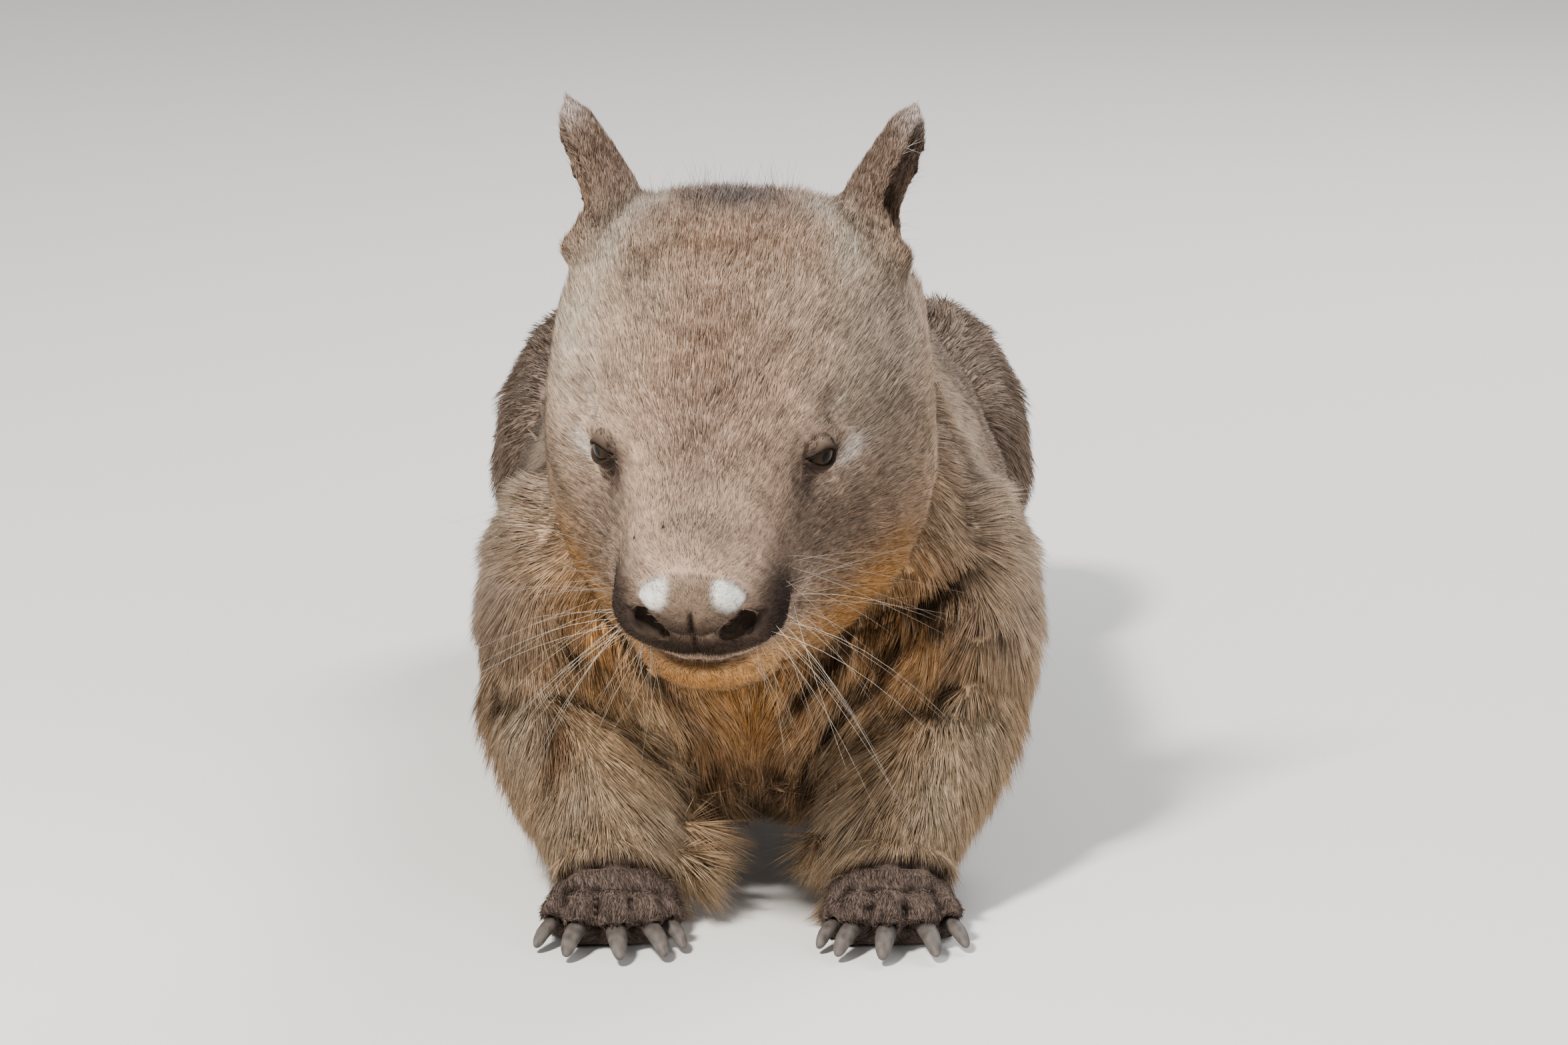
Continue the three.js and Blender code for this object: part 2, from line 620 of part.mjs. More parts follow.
// The head with its sockets, lids, nostrils and mouth, and what is set into it.
function buildHead() {
  const nostrils = nostril(1).add(nostril(-1));
  const core = solid(lofted(HEAD_SECTIONS, HEAD_CAPS, { around: 10, middle: 3, grow: -MOUTH.deep }));
  const lips = lipSlab(MOUTH.corner, -MOUTH.high / 2, MOUTH.high / 2).subtract(core);
  let skull = headShape(0).add(jawShape());
  for (const [, side] of SIDES) skull = skull.add(eyeBall(side, EYE.lid));
  skull = skull.subtract(noseShape(GAP)).subtract(nostrils).subtract(lips);
  const underLips = (grow) => lipSlab(MOUTH.hinge - grow, -200, grow);
  const [jaw, upper] = split(skull, underLips);
  let head = upper;
  for (const [name, side] of SIDES) {
    head = head.subtract(eyeBall(side, GAP)).subtract(lidOpening(side));
    head = head.subtract(earShape(side, GAP));
    const ear = earShape(side, 0).subtract(earShape(side, 0, true));
    place(headGroup, "ear_" + name, ear, COLOURS.ear);
    place(headGroup, "eye_" + name, eyeBall(side, 0), COLOURS.eye, 0.1);
  }
  place(headGroup, "head", head, COLOURS.face);
  place(headGroup, "lower_jaw", jaw, COLOURS.ochre);
  const nose = noseShape(0).subtract(nostrils).subtract(noseGroove());
  place(headGroup, "nose", nose, COLOURS.nose, 0.7);
}

// Repeatable draws between 0 and 1.
function draws(seed) {
  let state = seed;
  return () => {
    state = (state * 16807) % 2147483647;
    return state / 2147483647;
  };
}

// One lock: a flat tapered strip that leaves its root, hangs the given way and curls off a little.
function lock({ root, outward, hang, length, width, lean }) {
  const strip = new THREE.BoxGeometry(1, 1, 1, 1, 1, 2);
  const way = new THREE.Vector3(...hang).normalize();
  const across = new THREE.Vector3().crossVectors(outward, way).normalize();
  across.applyAxisAngle(way, lean);
  const off = new THREE.Vector3().crossVectors(way, across).normalize();
  if (off.dot(outward) < 0) off.negate();
  across.crossVectors(off, way);
  const position = strip.getAttribute("position");
  for (let i = 0; i < position.count; i += 1) {
    const t = position.getZ(i) + 0.5;
    const share = t < 0.5 ? 1 : 1 - (1 - LOCK.tipShare) * (2 * t - 1) ** 1.3;
    const p = new THREE.Vector3(...root);
    p.addScaledVector(outward, -LOCK.sunk * (1 - t) ** 2 + LOCK.curl * length * t * t);
    p.addScaledVector(way, (t - 0.12) * length);
    p.addScaledVector(across, position.getX(i) * width * share);
    p.addScaledVector(off, position.getY(i) * LOCK.thick * share);
    p.z = Math.max(p.z, 3 + position.getY(i));
    position.setXYZ(i, p.x, p.y, p.z);
  }
  const made = solid(strip);
  return made.volume() < 0 ? solid(flipped(strip)) : made;
}

// The long hair of the breast and the forearms.
function longHair() {
  const draw = draws(LOCK.seed);
  const vary = (size, share) => size * (1 + share * (2 * draw() - 1));
  const readTrunk = sectionReader(TRUNK_SECTIONS);
  const locks = [];
  for (const { ahead, turn, spread, count, length, width } of BREAST_ROWS)
    for (let i = 0; i < count; i += 1) {
      const angle = radians(turn + spread * (i / (count - 1) - 0.5) + 4 * (draw() - 0.5));
      const { half, level, bottom } = readTrunk(ahead);
      const share = capShare(ahead, TRUNK_CAPS);
      const outward = new THREE.Vector3(Math.cos(angle), -0.5, Math.sin(angle)).normalize();
      const root = [
        SWAY + share * half * Math.cos(angle),
        -ahead,
        level + share * (level - bottom) * Math.sin(angle),
      ];
      const hang = [-0.25 * Math.cos(angle), 0.35, -1];
      const lean = 0.5 * (draw() - 0.5);
      const size = { length: vary(length, 0.15), width: vary(width, 0.15) };
      locks.push({ root, outward, hang, lean, ...size });
    }
  const centres = new THREE.CatmullRomCurve3(FOREARM.map((s) => new THREE.Vector3(...s.at)));
  const girths = new THREE.CatmullRomCurve3(
    FOREARM.map((s) => new THREE.Vector3(s.across, s.fore, 0)),
  );
  for (const [, side] of SIDES)
    for (const { from, to, turn, count, length, width, hang } of FOREARM_ROWS)
      for (let i = 0; i < count; i += 1) {
        const t = from + ((to - from) * i) / (count - 1);
        const angle = radians(turn + 10 * (draw() - 0.5));
        const centre = centres.getPoint(t);
        const girth = girths.getPoint(t);
        const outward = new THREE.Vector3(side * Math.cos(angle), -Math.sin(angle), 0.1).normalize();
        const root = [
          side * (centre.x + girth.x * Math.cos(angle)),
          centre.y - girth.y * Math.sin(angle),
          centre.z,
        ];
        const lean = 0.5 * (draw() - 0.5);
        const way = [side * hang[0], hang[1], hang[2]];
        const size = { length: vary(length, 0.15), width: vary(width, 0.15) };
        locks.push({ root, outward, hang: way, lean, ...size });
      }
  return locks.map(lock);
}

// The trunk and limbs in one, less the room that the head and the tail take.
function bodyShape() {
  const trunk = lofted(TRUNK_SECTIONS, TRUNK_CAPS, { around: 22, middle: 9 });
  trunk.translate(SWAY, 0, 0);
  let body = solid(trunk);
  for (const [, side] of SIDES) {
    body = body.add(foreleg(side)).add(hindleg(side));
    body = body.add(pawShape(FOREPAW, side)).add(pawShape(HINDPAW, side));
  }
  for (const hair of longHair()) body = body.add(hair);
  body = body.intersect(aboveFloor);
  for (const [, side] of SIDES) body = body.subtract(moved(earShape(side, GAP)));
  return body.subtract(moved(headShape(GAP).add(jawShape()))).subtract(tailShape(GAP));
}

function tailShape(grow = 0) {
  const stops = [
    { at: TAIL.root, across: TAIL.radius * 1.2, fore: TAIL.radius },
    { at: TAIL.end, across: TAIL.radius * 0.7, fore: TAIL.radius * 0.6 },
  ];
  return solid(limb(stops, { around: 10, along: 6, grow }));
}

// The body parted into neck, chest, torso, rump, legs and paws.
function buildBody() {
  let rest = bodyShape();
  const take = (parts, side) => {
    const [inside, outside] = split(rest, (grow) => regionOf(parts, side, grow));
    rest = largest(outside);
    return inside;
  };
  for (const [name, side] of SIDES) {
    buildPaw("forepaw_" + name, "foreclaw_" + name, FOREPAW, side, take([FOREPAW_REGION], side));
    buildPaw("hindpaw_" + name, "hindclaw_" + name, HINDPAW, side, take([HINDPAW_REGION], side));
    place(model, "foreleg_" + name, take(FORELEG_REGION, side), COLOURS.ochre);
    place(model, "hindleg_" + name, take(HINDLEG_REGION, side), COLOURS.coat);
  }
  place(model, "tail", tailShape(), COLOURS.coat);
  place(model, "neck", rest.intersect(sideOf(NECK_CUT, 1)), COLOURS.coat);
  rest = rest.intersect(sideOf(NECK_CUT, -1));
  place(model, "chest", rest.intersect(sideOf(CHEST_CUT, 1)), COLOURS.ochre);
  rest = rest.intersect(sideOf(CHEST_CUT, -1));
  place(model, "torso", rest.intersect(sideOf(RUMP_CUT, 1)), COLOURS.coat);
  place(model, "rump", rest.intersect(sideOf(RUMP_CUT, -1)), COLOURS.coat);
}

// One paw and its claws, numbered from the inner toe outwards.
function buildPaw(pawName, clawName, paw, side, whole) {
  let made = whole;
  paw.toes.forEach((toe, i) => {
    if (!toe.claw) return;
    made = made.subtract(clawShape(paw, toe, side, GAP));
    place(model, `${clawName}_${i + 1}`, clawShape(paw, toe, side), COLOURS.claw, 0.55);
  });
  place(model, pawName, made, COLOURS.paw);
}

buildHead();
buildBody();

// The row's origin: on the floor, under the middle of the animal's length and breadth.
const extent = new THREE.Box3().setFromObject(model, true);
const middle = extent.getCenter(new THREE.Vector3());
model.position.set(-middle.x, -middle.y, 0);

export default model;
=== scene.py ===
"""A still, life-size southern hairy-nosed wombat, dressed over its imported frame.

Metres, +Z up. The animal faces -Y and its left side is +X. One skin takes the place of the flesh
nodes, a coat of solid tufts grows from it, and the eyes, claws and whiskers are pieces of their own.
"""

import logging
import math
from collections.abc import Callable
from dataclasses import dataclass, field
from enum import Enum

import bmesh
import bpy
import numpy as np
from mathutils import Matrix, Vector
from mathutils.bvhtree import BVHTree
from mathutils.kdtree import KDTree


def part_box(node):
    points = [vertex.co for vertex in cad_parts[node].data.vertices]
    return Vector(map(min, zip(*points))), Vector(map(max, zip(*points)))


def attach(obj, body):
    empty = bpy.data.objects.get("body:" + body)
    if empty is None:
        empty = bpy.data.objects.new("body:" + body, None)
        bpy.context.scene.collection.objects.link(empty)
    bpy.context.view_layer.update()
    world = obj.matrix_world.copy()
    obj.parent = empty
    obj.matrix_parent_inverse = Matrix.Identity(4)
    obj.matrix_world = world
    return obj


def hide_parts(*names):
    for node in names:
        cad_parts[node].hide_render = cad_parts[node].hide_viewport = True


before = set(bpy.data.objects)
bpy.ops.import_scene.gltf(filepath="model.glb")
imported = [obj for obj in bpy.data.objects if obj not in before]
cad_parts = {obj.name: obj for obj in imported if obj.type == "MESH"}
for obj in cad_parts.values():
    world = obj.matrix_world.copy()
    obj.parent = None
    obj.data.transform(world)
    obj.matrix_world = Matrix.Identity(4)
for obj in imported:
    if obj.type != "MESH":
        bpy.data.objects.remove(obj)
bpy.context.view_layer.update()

log = logging.getLogger("wombat")

Colour = tuple[float, float, float]
MM = 0.001
# The lowest places of the skin and the tips, of the roots, and of skin that bears hair.
LOWEST = 0.0012
LOWEST_ROOT = 0.0016
SOLE = 0.0018
# The brightness of the skin beside the coat that it bears.
UNDER_COAT = 0.72


class Part(Enum):
    """The parts of the body that the skin and the coat tell apart."""

    HEAD = 0
    LOWER_JAW = 1
    NOSE = 2
    EAR = 3
    NECK = 4
    CHEST = 5
    TORSO = 6
    RUMP = 7
    TAIL = 8
    FORELEG = 9
    FOREPAW = 10
    HINDLEG = 11
    HINDPAW = 12


HEAD_PARTS = (Part.HEAD, Part.LOWER_JAW, Part.NOSE)
PAW_PARTS = (Part.FOREPAW, Part.HINDPAW)
SIDES = {"left": 1.0, "right": -1.0}
PAIRED = (Part.EAR, Part.FORELEG, Part.FOREPAW, Part.HINDLEG, Part.HINDPAW)


def flesh_nodes() -> dict[str, Part]:
    """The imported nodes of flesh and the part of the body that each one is."""
    nodes = {part.name.lower(): part for part in Part if part not in PAIRED}
    nodes.update({f"{part.name.lower()}_{side}": part for part in PAIRED for side in SIDES})
    return nodes


# Places.


@dataclass(frozen=True)
class HeadFrame:
    """The head's own frame: +Y runs back along the mouth line, +Z up from it.

    Attributes:
        joint: where the head meets the neck, in the model's own frame, in metres.
        pitch: how far the head is lowered.
        yaw: how far it is turned.
        eye: the centre of the left eye in the head's frame.
    """

    joint: tuple[float, float, float] = (-0.0005, -0.232, 0.2424)
    pitch: float = math.radians(31.5)
    yaw: float = math.radians(-7.3)
    eye: tuple[float, float, float] = (0.043, -0.119, 0.0435)

    def turn(self) -> np.ndarray:
        """The 3x3 turn from the head's frame to the row's."""
        tilted = Matrix.Rotation(self.yaw, 3, "Z") @ Matrix.Rotation(self.pitch, 3, "X")
        return np.array(tilted)

    def shift(self) -> np.ndarray:
        """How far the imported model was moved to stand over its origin, read from its eyes."""
        centres = [(a + b) / 2 for a, b in (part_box("eye_left"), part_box("eye_right"))]
        between = np.array((centres[0] + centres[1]) / 2)
        own = np.array((0.0, self.eye[1], self.eye[2]))
        return between - np.array(self.joint) - self.turn() @ own

    def to_row(self, points: np.ndarray) -> np.ndarray:
        """Points of the head's frame in the row frame."""
        return points @ self.turn().T + np.array(self.joint) + self.shift()

    def to_head(self, points: np.ndarray) -> np.ndarray:
        """Points of the row frame in the head's frame."""
        return (points - np.array(self.joint) - self.shift()) @ self.turn()

    def way_to_row(self, ways: np.ndarray) -> np.ndarray:
        """Directions of the head's frame in the row frame."""
        return ways @ self.turn().T


HEAD = HeadFrame()


def unit(vectors: np.ndarray) -> np.ndarray:
    """Vectors brought to length one."""
    size = np.linalg.norm(vectors, axis=-1, keepdims=True)
    return vectors / np.maximum(size, 1e-12)


def smoothstep(low: float, high: float, value: np.ndarray) -> np.ndarray:
    """A soft step from 0 at low to 1 at high."""
    t = np.clip((value - low) / (high - low), 0, 1)
    return t * t * (3 - 2 * t)


def ripple(points: np.ndarray, wave: float, seed: int) -> np.ndarray:
    """A smooth wandering value between about -1 and 1 over space.

    Args:
        points: places in the row frame.
        wave: about how far apart its crests lie, in metres.
        seed: picks one of the patterns.

    Returns:
        One value for each point.
    """
    draw = np.random.default_rng(seed)
    total = np.zeros(len(points))
    for _ in range(6):
        way = unit(draw.normal(size=3)) * 2 * math.pi / (wave * draw.uniform(0.7, 1.5))
        total += np.sin(points @ way + draw.uniform(0, 2 * math.pi))
    return total / 2.6


def bell(value: np.ndarray, half: float) -> np.ndarray:
    """A smooth bump, 1 where the value is 0 and 0.37 where it is half the bump's width."""
    return np.exp(-((value / half) ** 2))


def mixed(colour: np.ndarray, over: Colour, cover: np.ndarray) -> np.ndarray:
    """Colours with another one laid over them, as far as cover says for each point."""
    cover = cover[:, None]
    return colour * (1 - cover) + np.array(over) * cover


def share_of(weights: np.ndarray, *parts: Part) -> np.ndarray:
    """How much each point belongs to the given parts together."""
    return weights[:, [part.value for part in parts]].sum(1)


# Finishes.


def new_material(name: str) -> tuple[bpy.types.Material, bpy.types.NodeTree]:
    """A fresh material and its tree."""
    material = bpy.data.materials.new(name)
    material.use_nodes = True
    return material, material.node_tree


def put(node: bpy.types.Node, values: dict[str, object]) -> None:
    """Sets inputs of a node by their names."""
    for name, value in values.items():
        node.inputs[name].default_value = value


class Finishes:
    """The materials of skin, coat, claws and floor, and the group that grains them."""

    def __init__(self) -> None:
        """Starts with no materials made."""
        self.made: dict[str, bpy.types.Material] = {}
        self.grain = self._grain_group()

    def _grain_group(self) -> bpy.types.NodeTree:
        """A group that breaks up a colour with soft grain."""
        group = bpy.data.node_groups.new("grain", "ShaderNodeTree")
        face = group.interface
        face.new_socket("Colour", in_out="INPUT", socket_type="NodeSocketColor")
        for name, value in (("Scale", 200.0), ("Strength", 0.3)):
            socket = face.new_socket(name, in_out="INPUT", socket_type="NodeSocketFloat")
            socket.default_value = value
        face.new_socket("Colour", in_out="OUTPUT", socket_type="NodeSocketColor")
        face.new_socket("Height", in_out="OUTPUT", socket_type="NodeSocketFloat")
        add, link = group.nodes.new, group.links.new
        start, end = add("NodeGroupInput"), add("NodeGroupOutput")
        place, noise = add("ShaderNodeTexCoord"), add("ShaderNodeTexNoise")
        put(noise, {"Detail": 3.0})
        link(place.outputs["Object"], noise.inputs["Vector"])
        link(start.outputs["Scale"], noise.inputs["Scale"])
        span = add("ShaderNodeMapRange")
        put(span, {"From Min": 0.3, "From Max": 0.7})
        link(noise.outputs["Fac"], span.inputs["Value"])
        for operation, end_name in (("SUBTRACT", "To Min"), ("ADD", "To Max")):
            limit = add("ShaderNodeMath")
            limit.operation = operation
            limit.inputs[0].default_value = 1.0
            link(start.outputs["Strength"], limit.inputs[1])
            link(limit.outputs[0], span.inputs[end_name])
        scaled = add("ShaderNodeVectorMath")
        scaled.operation = "SCALE"
        link(start.outputs["Colour"], scaled.inputs[0])
        link(span.outputs["Result"], scaled.inputs["Scale"])
        link(scaled.outputs["Vector"], end.inputs["Colour"])
        link(noise.outputs["Fac"], end.inputs["Height"])
        return group

    def coat(self, name: str, roughness: float, specular: float, bump: float) -> bpy.types.Material:
        """Hair or skin that takes its colour from the mesh's own tint.

        Args:
            name: the finish's name.
            roughness: from wet to dull.
            specular: how strongly it shines.
            bump: how far its grain stands up, in metres.

        Returns:
            The material.
        """
        if name in self.made:
            return self.made[name]
        material, tree = new_material(name)
        self.made[name] = material
        add, link = tree.nodes.new, tree.links.new
        shader = tree.nodes["Principled BSDF"]
        tint, grain = add("ShaderNodeAttribute"), add("ShaderNodeGroup")
        tint.attribute_name = "tint"
        grain.node_tree = self.grain
        put(grain, {"Scale": 260.0, "Strength": 0.18})
        link(tint.outputs["Color"], grain.inputs["Colour"])
        link(grain.outputs["Colour"], shader.inputs["Base Color"])
        put(shader, {"Roughness": roughness, "Specular IOR Level": specular})
        if bump:
            lift = add("ShaderNodeBump")
            put(lift, {"Strength": 0.6, "Distance": bump})
            link(grain.outputs["Height"], lift.inputs["Height"])
            link(lift.outputs["Normal"], shader.inputs["Normal"])
        return material

    def plain(self, name: str, colour: Colour, roughness: float) -> bpy.types.Material:
        """An even colour, such as the floor's."""
        material, tree = new_material(name)
        put(tree.nodes["Principled BSDF"], {"Base Color": (*colour, 1.0), "Roughness": roughness})
        return material


def paint(obj: bpy.types.Object, colours: np.ndarray) -> None:
    """Stores a colour for each vertex as the mesh's tint."""
    tint = obj.data.attributes.new("tint", "FLOAT_COLOR", "POINT")
    full = np.ones((len(colours), 4), np.float32)
    full[:, :3] = colours
    tint.data.foreach_set("color", full.ravel())


def show(mesh: bpy.types.Mesh, name: str) -> bpy.types.Object:
    """A linked object at the origin for a finished mesh."""
    obj = bpy.data.objects.new(name, mesh)
    bpy.context.scene.collection.objects.link(obj)
    return obj


def settle(obj: bpy.types.Object, material: bpy.types.Material, slot: str, *nodes: str) -> None:
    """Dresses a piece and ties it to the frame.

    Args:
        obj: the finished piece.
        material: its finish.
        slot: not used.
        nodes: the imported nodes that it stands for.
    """
    obj.data.materials.clear()
    obj.data.materials.append(material)
    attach(obj, "root")
    if nodes:
        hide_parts(*nodes)
    log.info("%s: %d faces", obj.name, len(obj.data.polygons))


# Meshes.


def copied(node: str) -> bmesh.types.BMesh:
    """A node of the frame as an editable body with its doubled vertices joined."""
    body = bmesh.new()
    body.from_mesh(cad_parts[node].data)
    bmesh.ops.remove_doubles(body, verts=body.verts, dist=1e-6)
    return body


def poured(body: bmesh.types.BMesh, name: str) -> bpy.types.Mesh:
    """A new mesh made from an editable body, which is let go."""
    mesh = bpy.data.meshes.new(name)
    body.to_mesh(mesh)
    body.free()
    return mesh


def change(mesh: bpy.types.Mesh, work: Callable[[bmesh.types.BMesh], None]) -> None:
    """Lets a function work on a mesh as an editable body."""
    body = bmesh.new()
    body.from_mesh(mesh)
    work(body)
    body.to_mesh(mesh)
    body.free()


def apply_modifiers(obj: bpy.types.Object) -> bpy.types.Mesh:
    """Puts what the modifiers of an object make in place of its mesh."""
    bpy.context.view_layer.update()
    seen = obj.evaluated_get(bpy.context.evaluated_depsgraph_get())
    made = bpy.data.meshes.new_from_object(seen)
    obj.modifiers.clear()
    old, obj.data = obj.data, made
    bpy.data.meshes.remove(old)
    return made


def shade_smooth(mesh: bpy.types.Mesh) -> None:
    """Rounds off the shading of every face."""
    mesh.polygons.foreach_set("use_smooth", np.ones(len(mesh.polygons), bool))


def relaxed(values: np.ndarray, edges: np.ndarray, rounds: int) -> np.ndarray:
    """Values evened out along the edges of a mesh, that many times."""
    a, b = edges.T
    count = len(values)
    links = np.bincount(a, minlength=count) + np.bincount(b, minlength=count)
    for _ in range(rounds):
        total = np.empty_like(values)
        for k in range(values.shape[1]):
            column = values[:, k]
            total[:, k] = np.bincount(a, column[b], count) + np.bincount(b, column[a], count)
        values = 0.5 * values + 0.5 * total / np.maximum(links, 1)[:, None]
    return values


def faired(points: np.ndarray, edges: np.ndarray, rounds: int) -> np.ndarray:
    """Points smoothed along the edges with nearly no loss of volume, so that thin parts stay."""
    for _ in range(rounds):
        points = points + (relaxed(points, edges, 1) - points)
        points = points - 1.06 * (relaxed(points, edges, 1) - points)
    return points


def read(items: bpy.types.bpy_prop_collection, name: str, wide: int,
         kind: type = float) -> np.ndarray:
    """One property of many items of a mesh as rows.

    Args:
        items: the items, such as its vertices.
        name: the property's name.
        wide: how many numbers an item has of it.
        kind: the kind of number.

    Returns:
        A row for each item.
    """
    flat = np.empty(len(items) * wide, kind)
    items.foreach_get(name, flat)
    return flat.reshape(-1, wide)


def write_points(mesh: bpy.types.Mesh, points: np.ndarray) -> None:
    """Moves a mesh's vertices to the given rows."""
    mesh.vertices.foreach_set("co", points.ravel())
    mesh.update()


def read_normals(mesh: bpy.types.Mesh) -> np.ndarray:
    """The normals at a mesh's vertices as rows."""
    return read(mesh.vertex_normals, "vector", 3, np.float32).astype(float)


def unwrap(obj: bpy.types.Object) -> None:
    """Lays the skin out flat, piece by piece, as the map that it is baked on."""
    obj.data.uv_layers.new(name="OFBake")
    bpy.context.view_layer.objects.active = obj
    obj.select_set(True)
    bpy.ops.object.mode_set(mode="EDIT")
    bpy.ops.mesh.select_all(action="SELECT")
    bpy.ops.uv.smart_project(angle_limit=math.radians(70), island_margin=0.002)
    bpy.ops.object.mode_set(mode="OBJECT")
    obj.select_set(False)


def repeated_mesh(name: str, points: np.ndarray, faces: tuple[tuple[int, ...], ...], each: int,
                  count: int, uv: np.ndarray) -> bpy.types.Mesh:
    """A mesh of many small bodies that share one pattern of faces.

    Args:
        name: the mesh's name.
        points: all vertices, body after body.
        faces: one body's faces.
        each: vertices in a body.
        count: how many bodies there are.
        uv: a place on the map for every vertex.

    Returns:
        The mesh.
    """
    pattern = np.concatenate([np.array(face) for face in faces])
    loops = (pattern[None] + (np.arange(count) * each)[:, None]).ravel()
    sizes = np.tile([len(face) for face in faces], count)
    starts = np.concatenate(([0], np.cumsum(sizes)[:-1]))
    mesh = bpy.data.meshes.new(name)
    mesh.vertices.add(len(points))
    mesh.vertices.foreach_set("co", points.ravel().astype(np.float32))
    mesh.loops.add(len(loops))
    mesh.loops.foreach_set("vertex_index", loops.astype(np.int32))
    mesh.polygons.add(len(sizes))
    mesh.polygons.foreach_set("loop_start", starts.astype(np.int32))
    mesh.polygons.foreach_set("use_smooth", np.ones(len(sizes), bool))
    layer = mesh.uv_layers.new(name="OFBake")
    layer.data.foreach_set("uv", uv[loops].ravel().astype(np.float32))
    mesh.update(calc_edges=True)
    return mesh


# Markings and painted shade.


@dataclass(frozen=True)
class Patch:
    """A soft-edged mark on the coat, or a soft patch of painted shade.

    Attributes:
        at: its middle, in millimetres, in the head's frame or, for a body mark, in the row's.
        reach: how far it goes each way, in millimetres.
        colour: its colour at the middle.
        strength: how fully it covers what is under it.
        both: whether it is mirrored on the other side.
        edge: how sudden its edge is; 2 is soft.
    """

    at: tuple[float, float, float]
    reach: tuple[float, float, float]
    colour: Colour
    strength: float = 1.0
    both: bool = True
    edge: float = 2.0

    def cover(self, points: np.ndarray) -> np.ndarray:
        """How much of the mark shows at each point, from 0 to 1."""
        at, reach = np.array(self.at) * MM, np.array(self.reach) * MM
        shown = np.zeros(len(points))
        for side in (1.0, -1.0) if self.both else (1.0,):
            away = (points - at * (side, 1.0, 1.0)) / reach
            near = np.exp(-((away**2).sum(1) ** (self.edge / 2)))
            shown = np.maximum(shown, near)
        return shown * self.strength


CREAM: Colour = (0.74, 0.63, 0.50)
SILVER: Colour = (0.90, 0.76, 0.63)
TAUPE: Colour = (0.53, 0.395, 0.31)
WARM_BROWN: Colour = (0.37, 0.24, 0.165)
BLUE_GREY: Colour = (0.135, 0.128, 0.138)
OCHRE: Colour = (0.68, 0.36, 0.155)
PALE_OCHRE: Colour = (0.70, 0.50, 0.32)
PARTING_SHADE: Colour = (0.020, 0.014, 0.011)
LIP: Colour = (0.020, 0.013, 0.010)
LID: Colour = (0.018, 0.013, 0.011)
PAW: Colour = (0.135, 0.104, 0.090)
BACK: Colour = (0.27, 0.205, 0.165)

BASE: dict[Part, Colour] = {
    Part.HEAD: TAUPE,
    Part.LOWER_JAW: (0.50, 0.31, 0.175),
    Part.NOSE: (0.19, 0.14, 0.11),
    Part.EAR: (0.17, 0.122, 0.097),
    Part.NECK: (0.50, 0.335, 0.21),
    Part.CHEST: (0.50, 0.38, 0.295),
    Part.TORSO: BACK,
    Part.RUMP: BACK,
    Part.TAIL: BACK,
    Part.FORELEG: (0.54, 0.385, 0.255),
    Part.FOREPAW: PAW,
    Part.HINDLEG: BACK,
    Part.HINDPAW: PAW,
}

# The nostril's pit is painted near black: painted shade inside the pit, over the dark skin of the nose.
NOSTRIL = Patch((20, -204, 19.5), (10.5, 14, 5.6), (0.012, 0.009, 0.008), 1.0, edge=4.0)
HEAD_MARKS_AND_SHADE = (
    Patch((66, -60, 56), (26, 44, 34), SILVER, 0.9),
    Patch((0, -105, 86), (26, 44, 24), (0.44, 0.305, 0.23), 0.8, both=False),
    Patch((34, -78, 90), (18, 26, 16), (0.52, 0.41, 0.32), 0.6),
    # Painted shade: the left temple (+X), the side away from the key light, is darkened on that side
    # only.
    Patch((70, -72, 48), (26, 34, 30), (0.31, 0.245, 0.20), 0.75, both=False),
    Patch((56, -116, 4), (20, 26, 20), (0.30, 0.215, 0.16), 0.6, both=False),
    Patch((-62, -112, -24), (24, 36, 26), (0.60, 0.43, 0.29), 0.75, both=False),
    Patch((0, -46, 98), (44, 17, 18), WARM_BROWN, 0.65, both=False),
    Patch((40, -10, 88), (11, 13, 12), (0.88, 0.77, 0.66), 0.85, edge=2.4),
    Patch((52, -34, 84), (9, 19, 11), (0.86, 0.75, 0.64), 0.8, edge=2.4),
    Patch((0, -8, 92), (21, 12, 14), BLUE_GREY, 0.9, both=False),
    Patch((76, -50, 0), (22, 50, 30), (0.46, 0.335, 0.24), 0.8),
    Patch((62, -112, -50), (34, 46, 26), OCHRE, 0.9),
    Patch((74, -62, -78), (30, 40, 30), PALE_OCHRE, 0.8),
    Patch((50, -128, -14), (18, 26, 13), (0.36, 0.245, 0.165), 0.7),
    Patch((44, -142, 22), (14, 22, 18), (0.26, 0.195, 0.155), 0.75),
    Patch((0, -150, 70), (22, 24, 16), (0.26, 0.19, 0.155), 0.8, both=False),
    Patch((0, -186, 58), (26, 17, 13), (0.24, 0.18, 0.145), 0.9, both=False),
    Patch((36, -188, 32), (12, 18, 11), (0.24, 0.18, 0.15), 0.8),
    Patch((62, -98, 57), (13, 8, 4), (0.12, 0.09, 0.075), 0.7),
    Patch((56, -110, 56), (8, 13, 5.0), (0.86, 0.74, 0.60), 0.9, edge=3.0),
    Patch((42, -133, 38), (8, 10, 12), (0.030, 0.023, 0.024), 0.92),
    Patch((36, -144, 26), (5, 9, 9), (0.10, 0.08, 0.072), 0.6),
    Patch((59, -112, 35), (7, 12, 4.5), (0.80, 0.74, 0.68), 0.9, edge=3.0),
    Patch((38, -184, 9), (12, 18, 13), (0.085, 0.062, 0.052), 0.9, edge=3.0),
    Patch((0, -200, 7), (44, 28, 15), LIP, 0.97, both=False, edge=4.0),
    Patch((35, -190, 20), (17, 26, 18), (0.024, 0.017, 0.015), 0.93, edge=3.0),
    Patch((0, -192, -26), (34, 22, 9), OCHRE, 0.8, both=False),
    Patch((0, -196, -14.5), (32, 14, 3), (0.05, 0.028, 0.014), 0.9, both=False, edge=3.0),
    NOSTRIL,
)
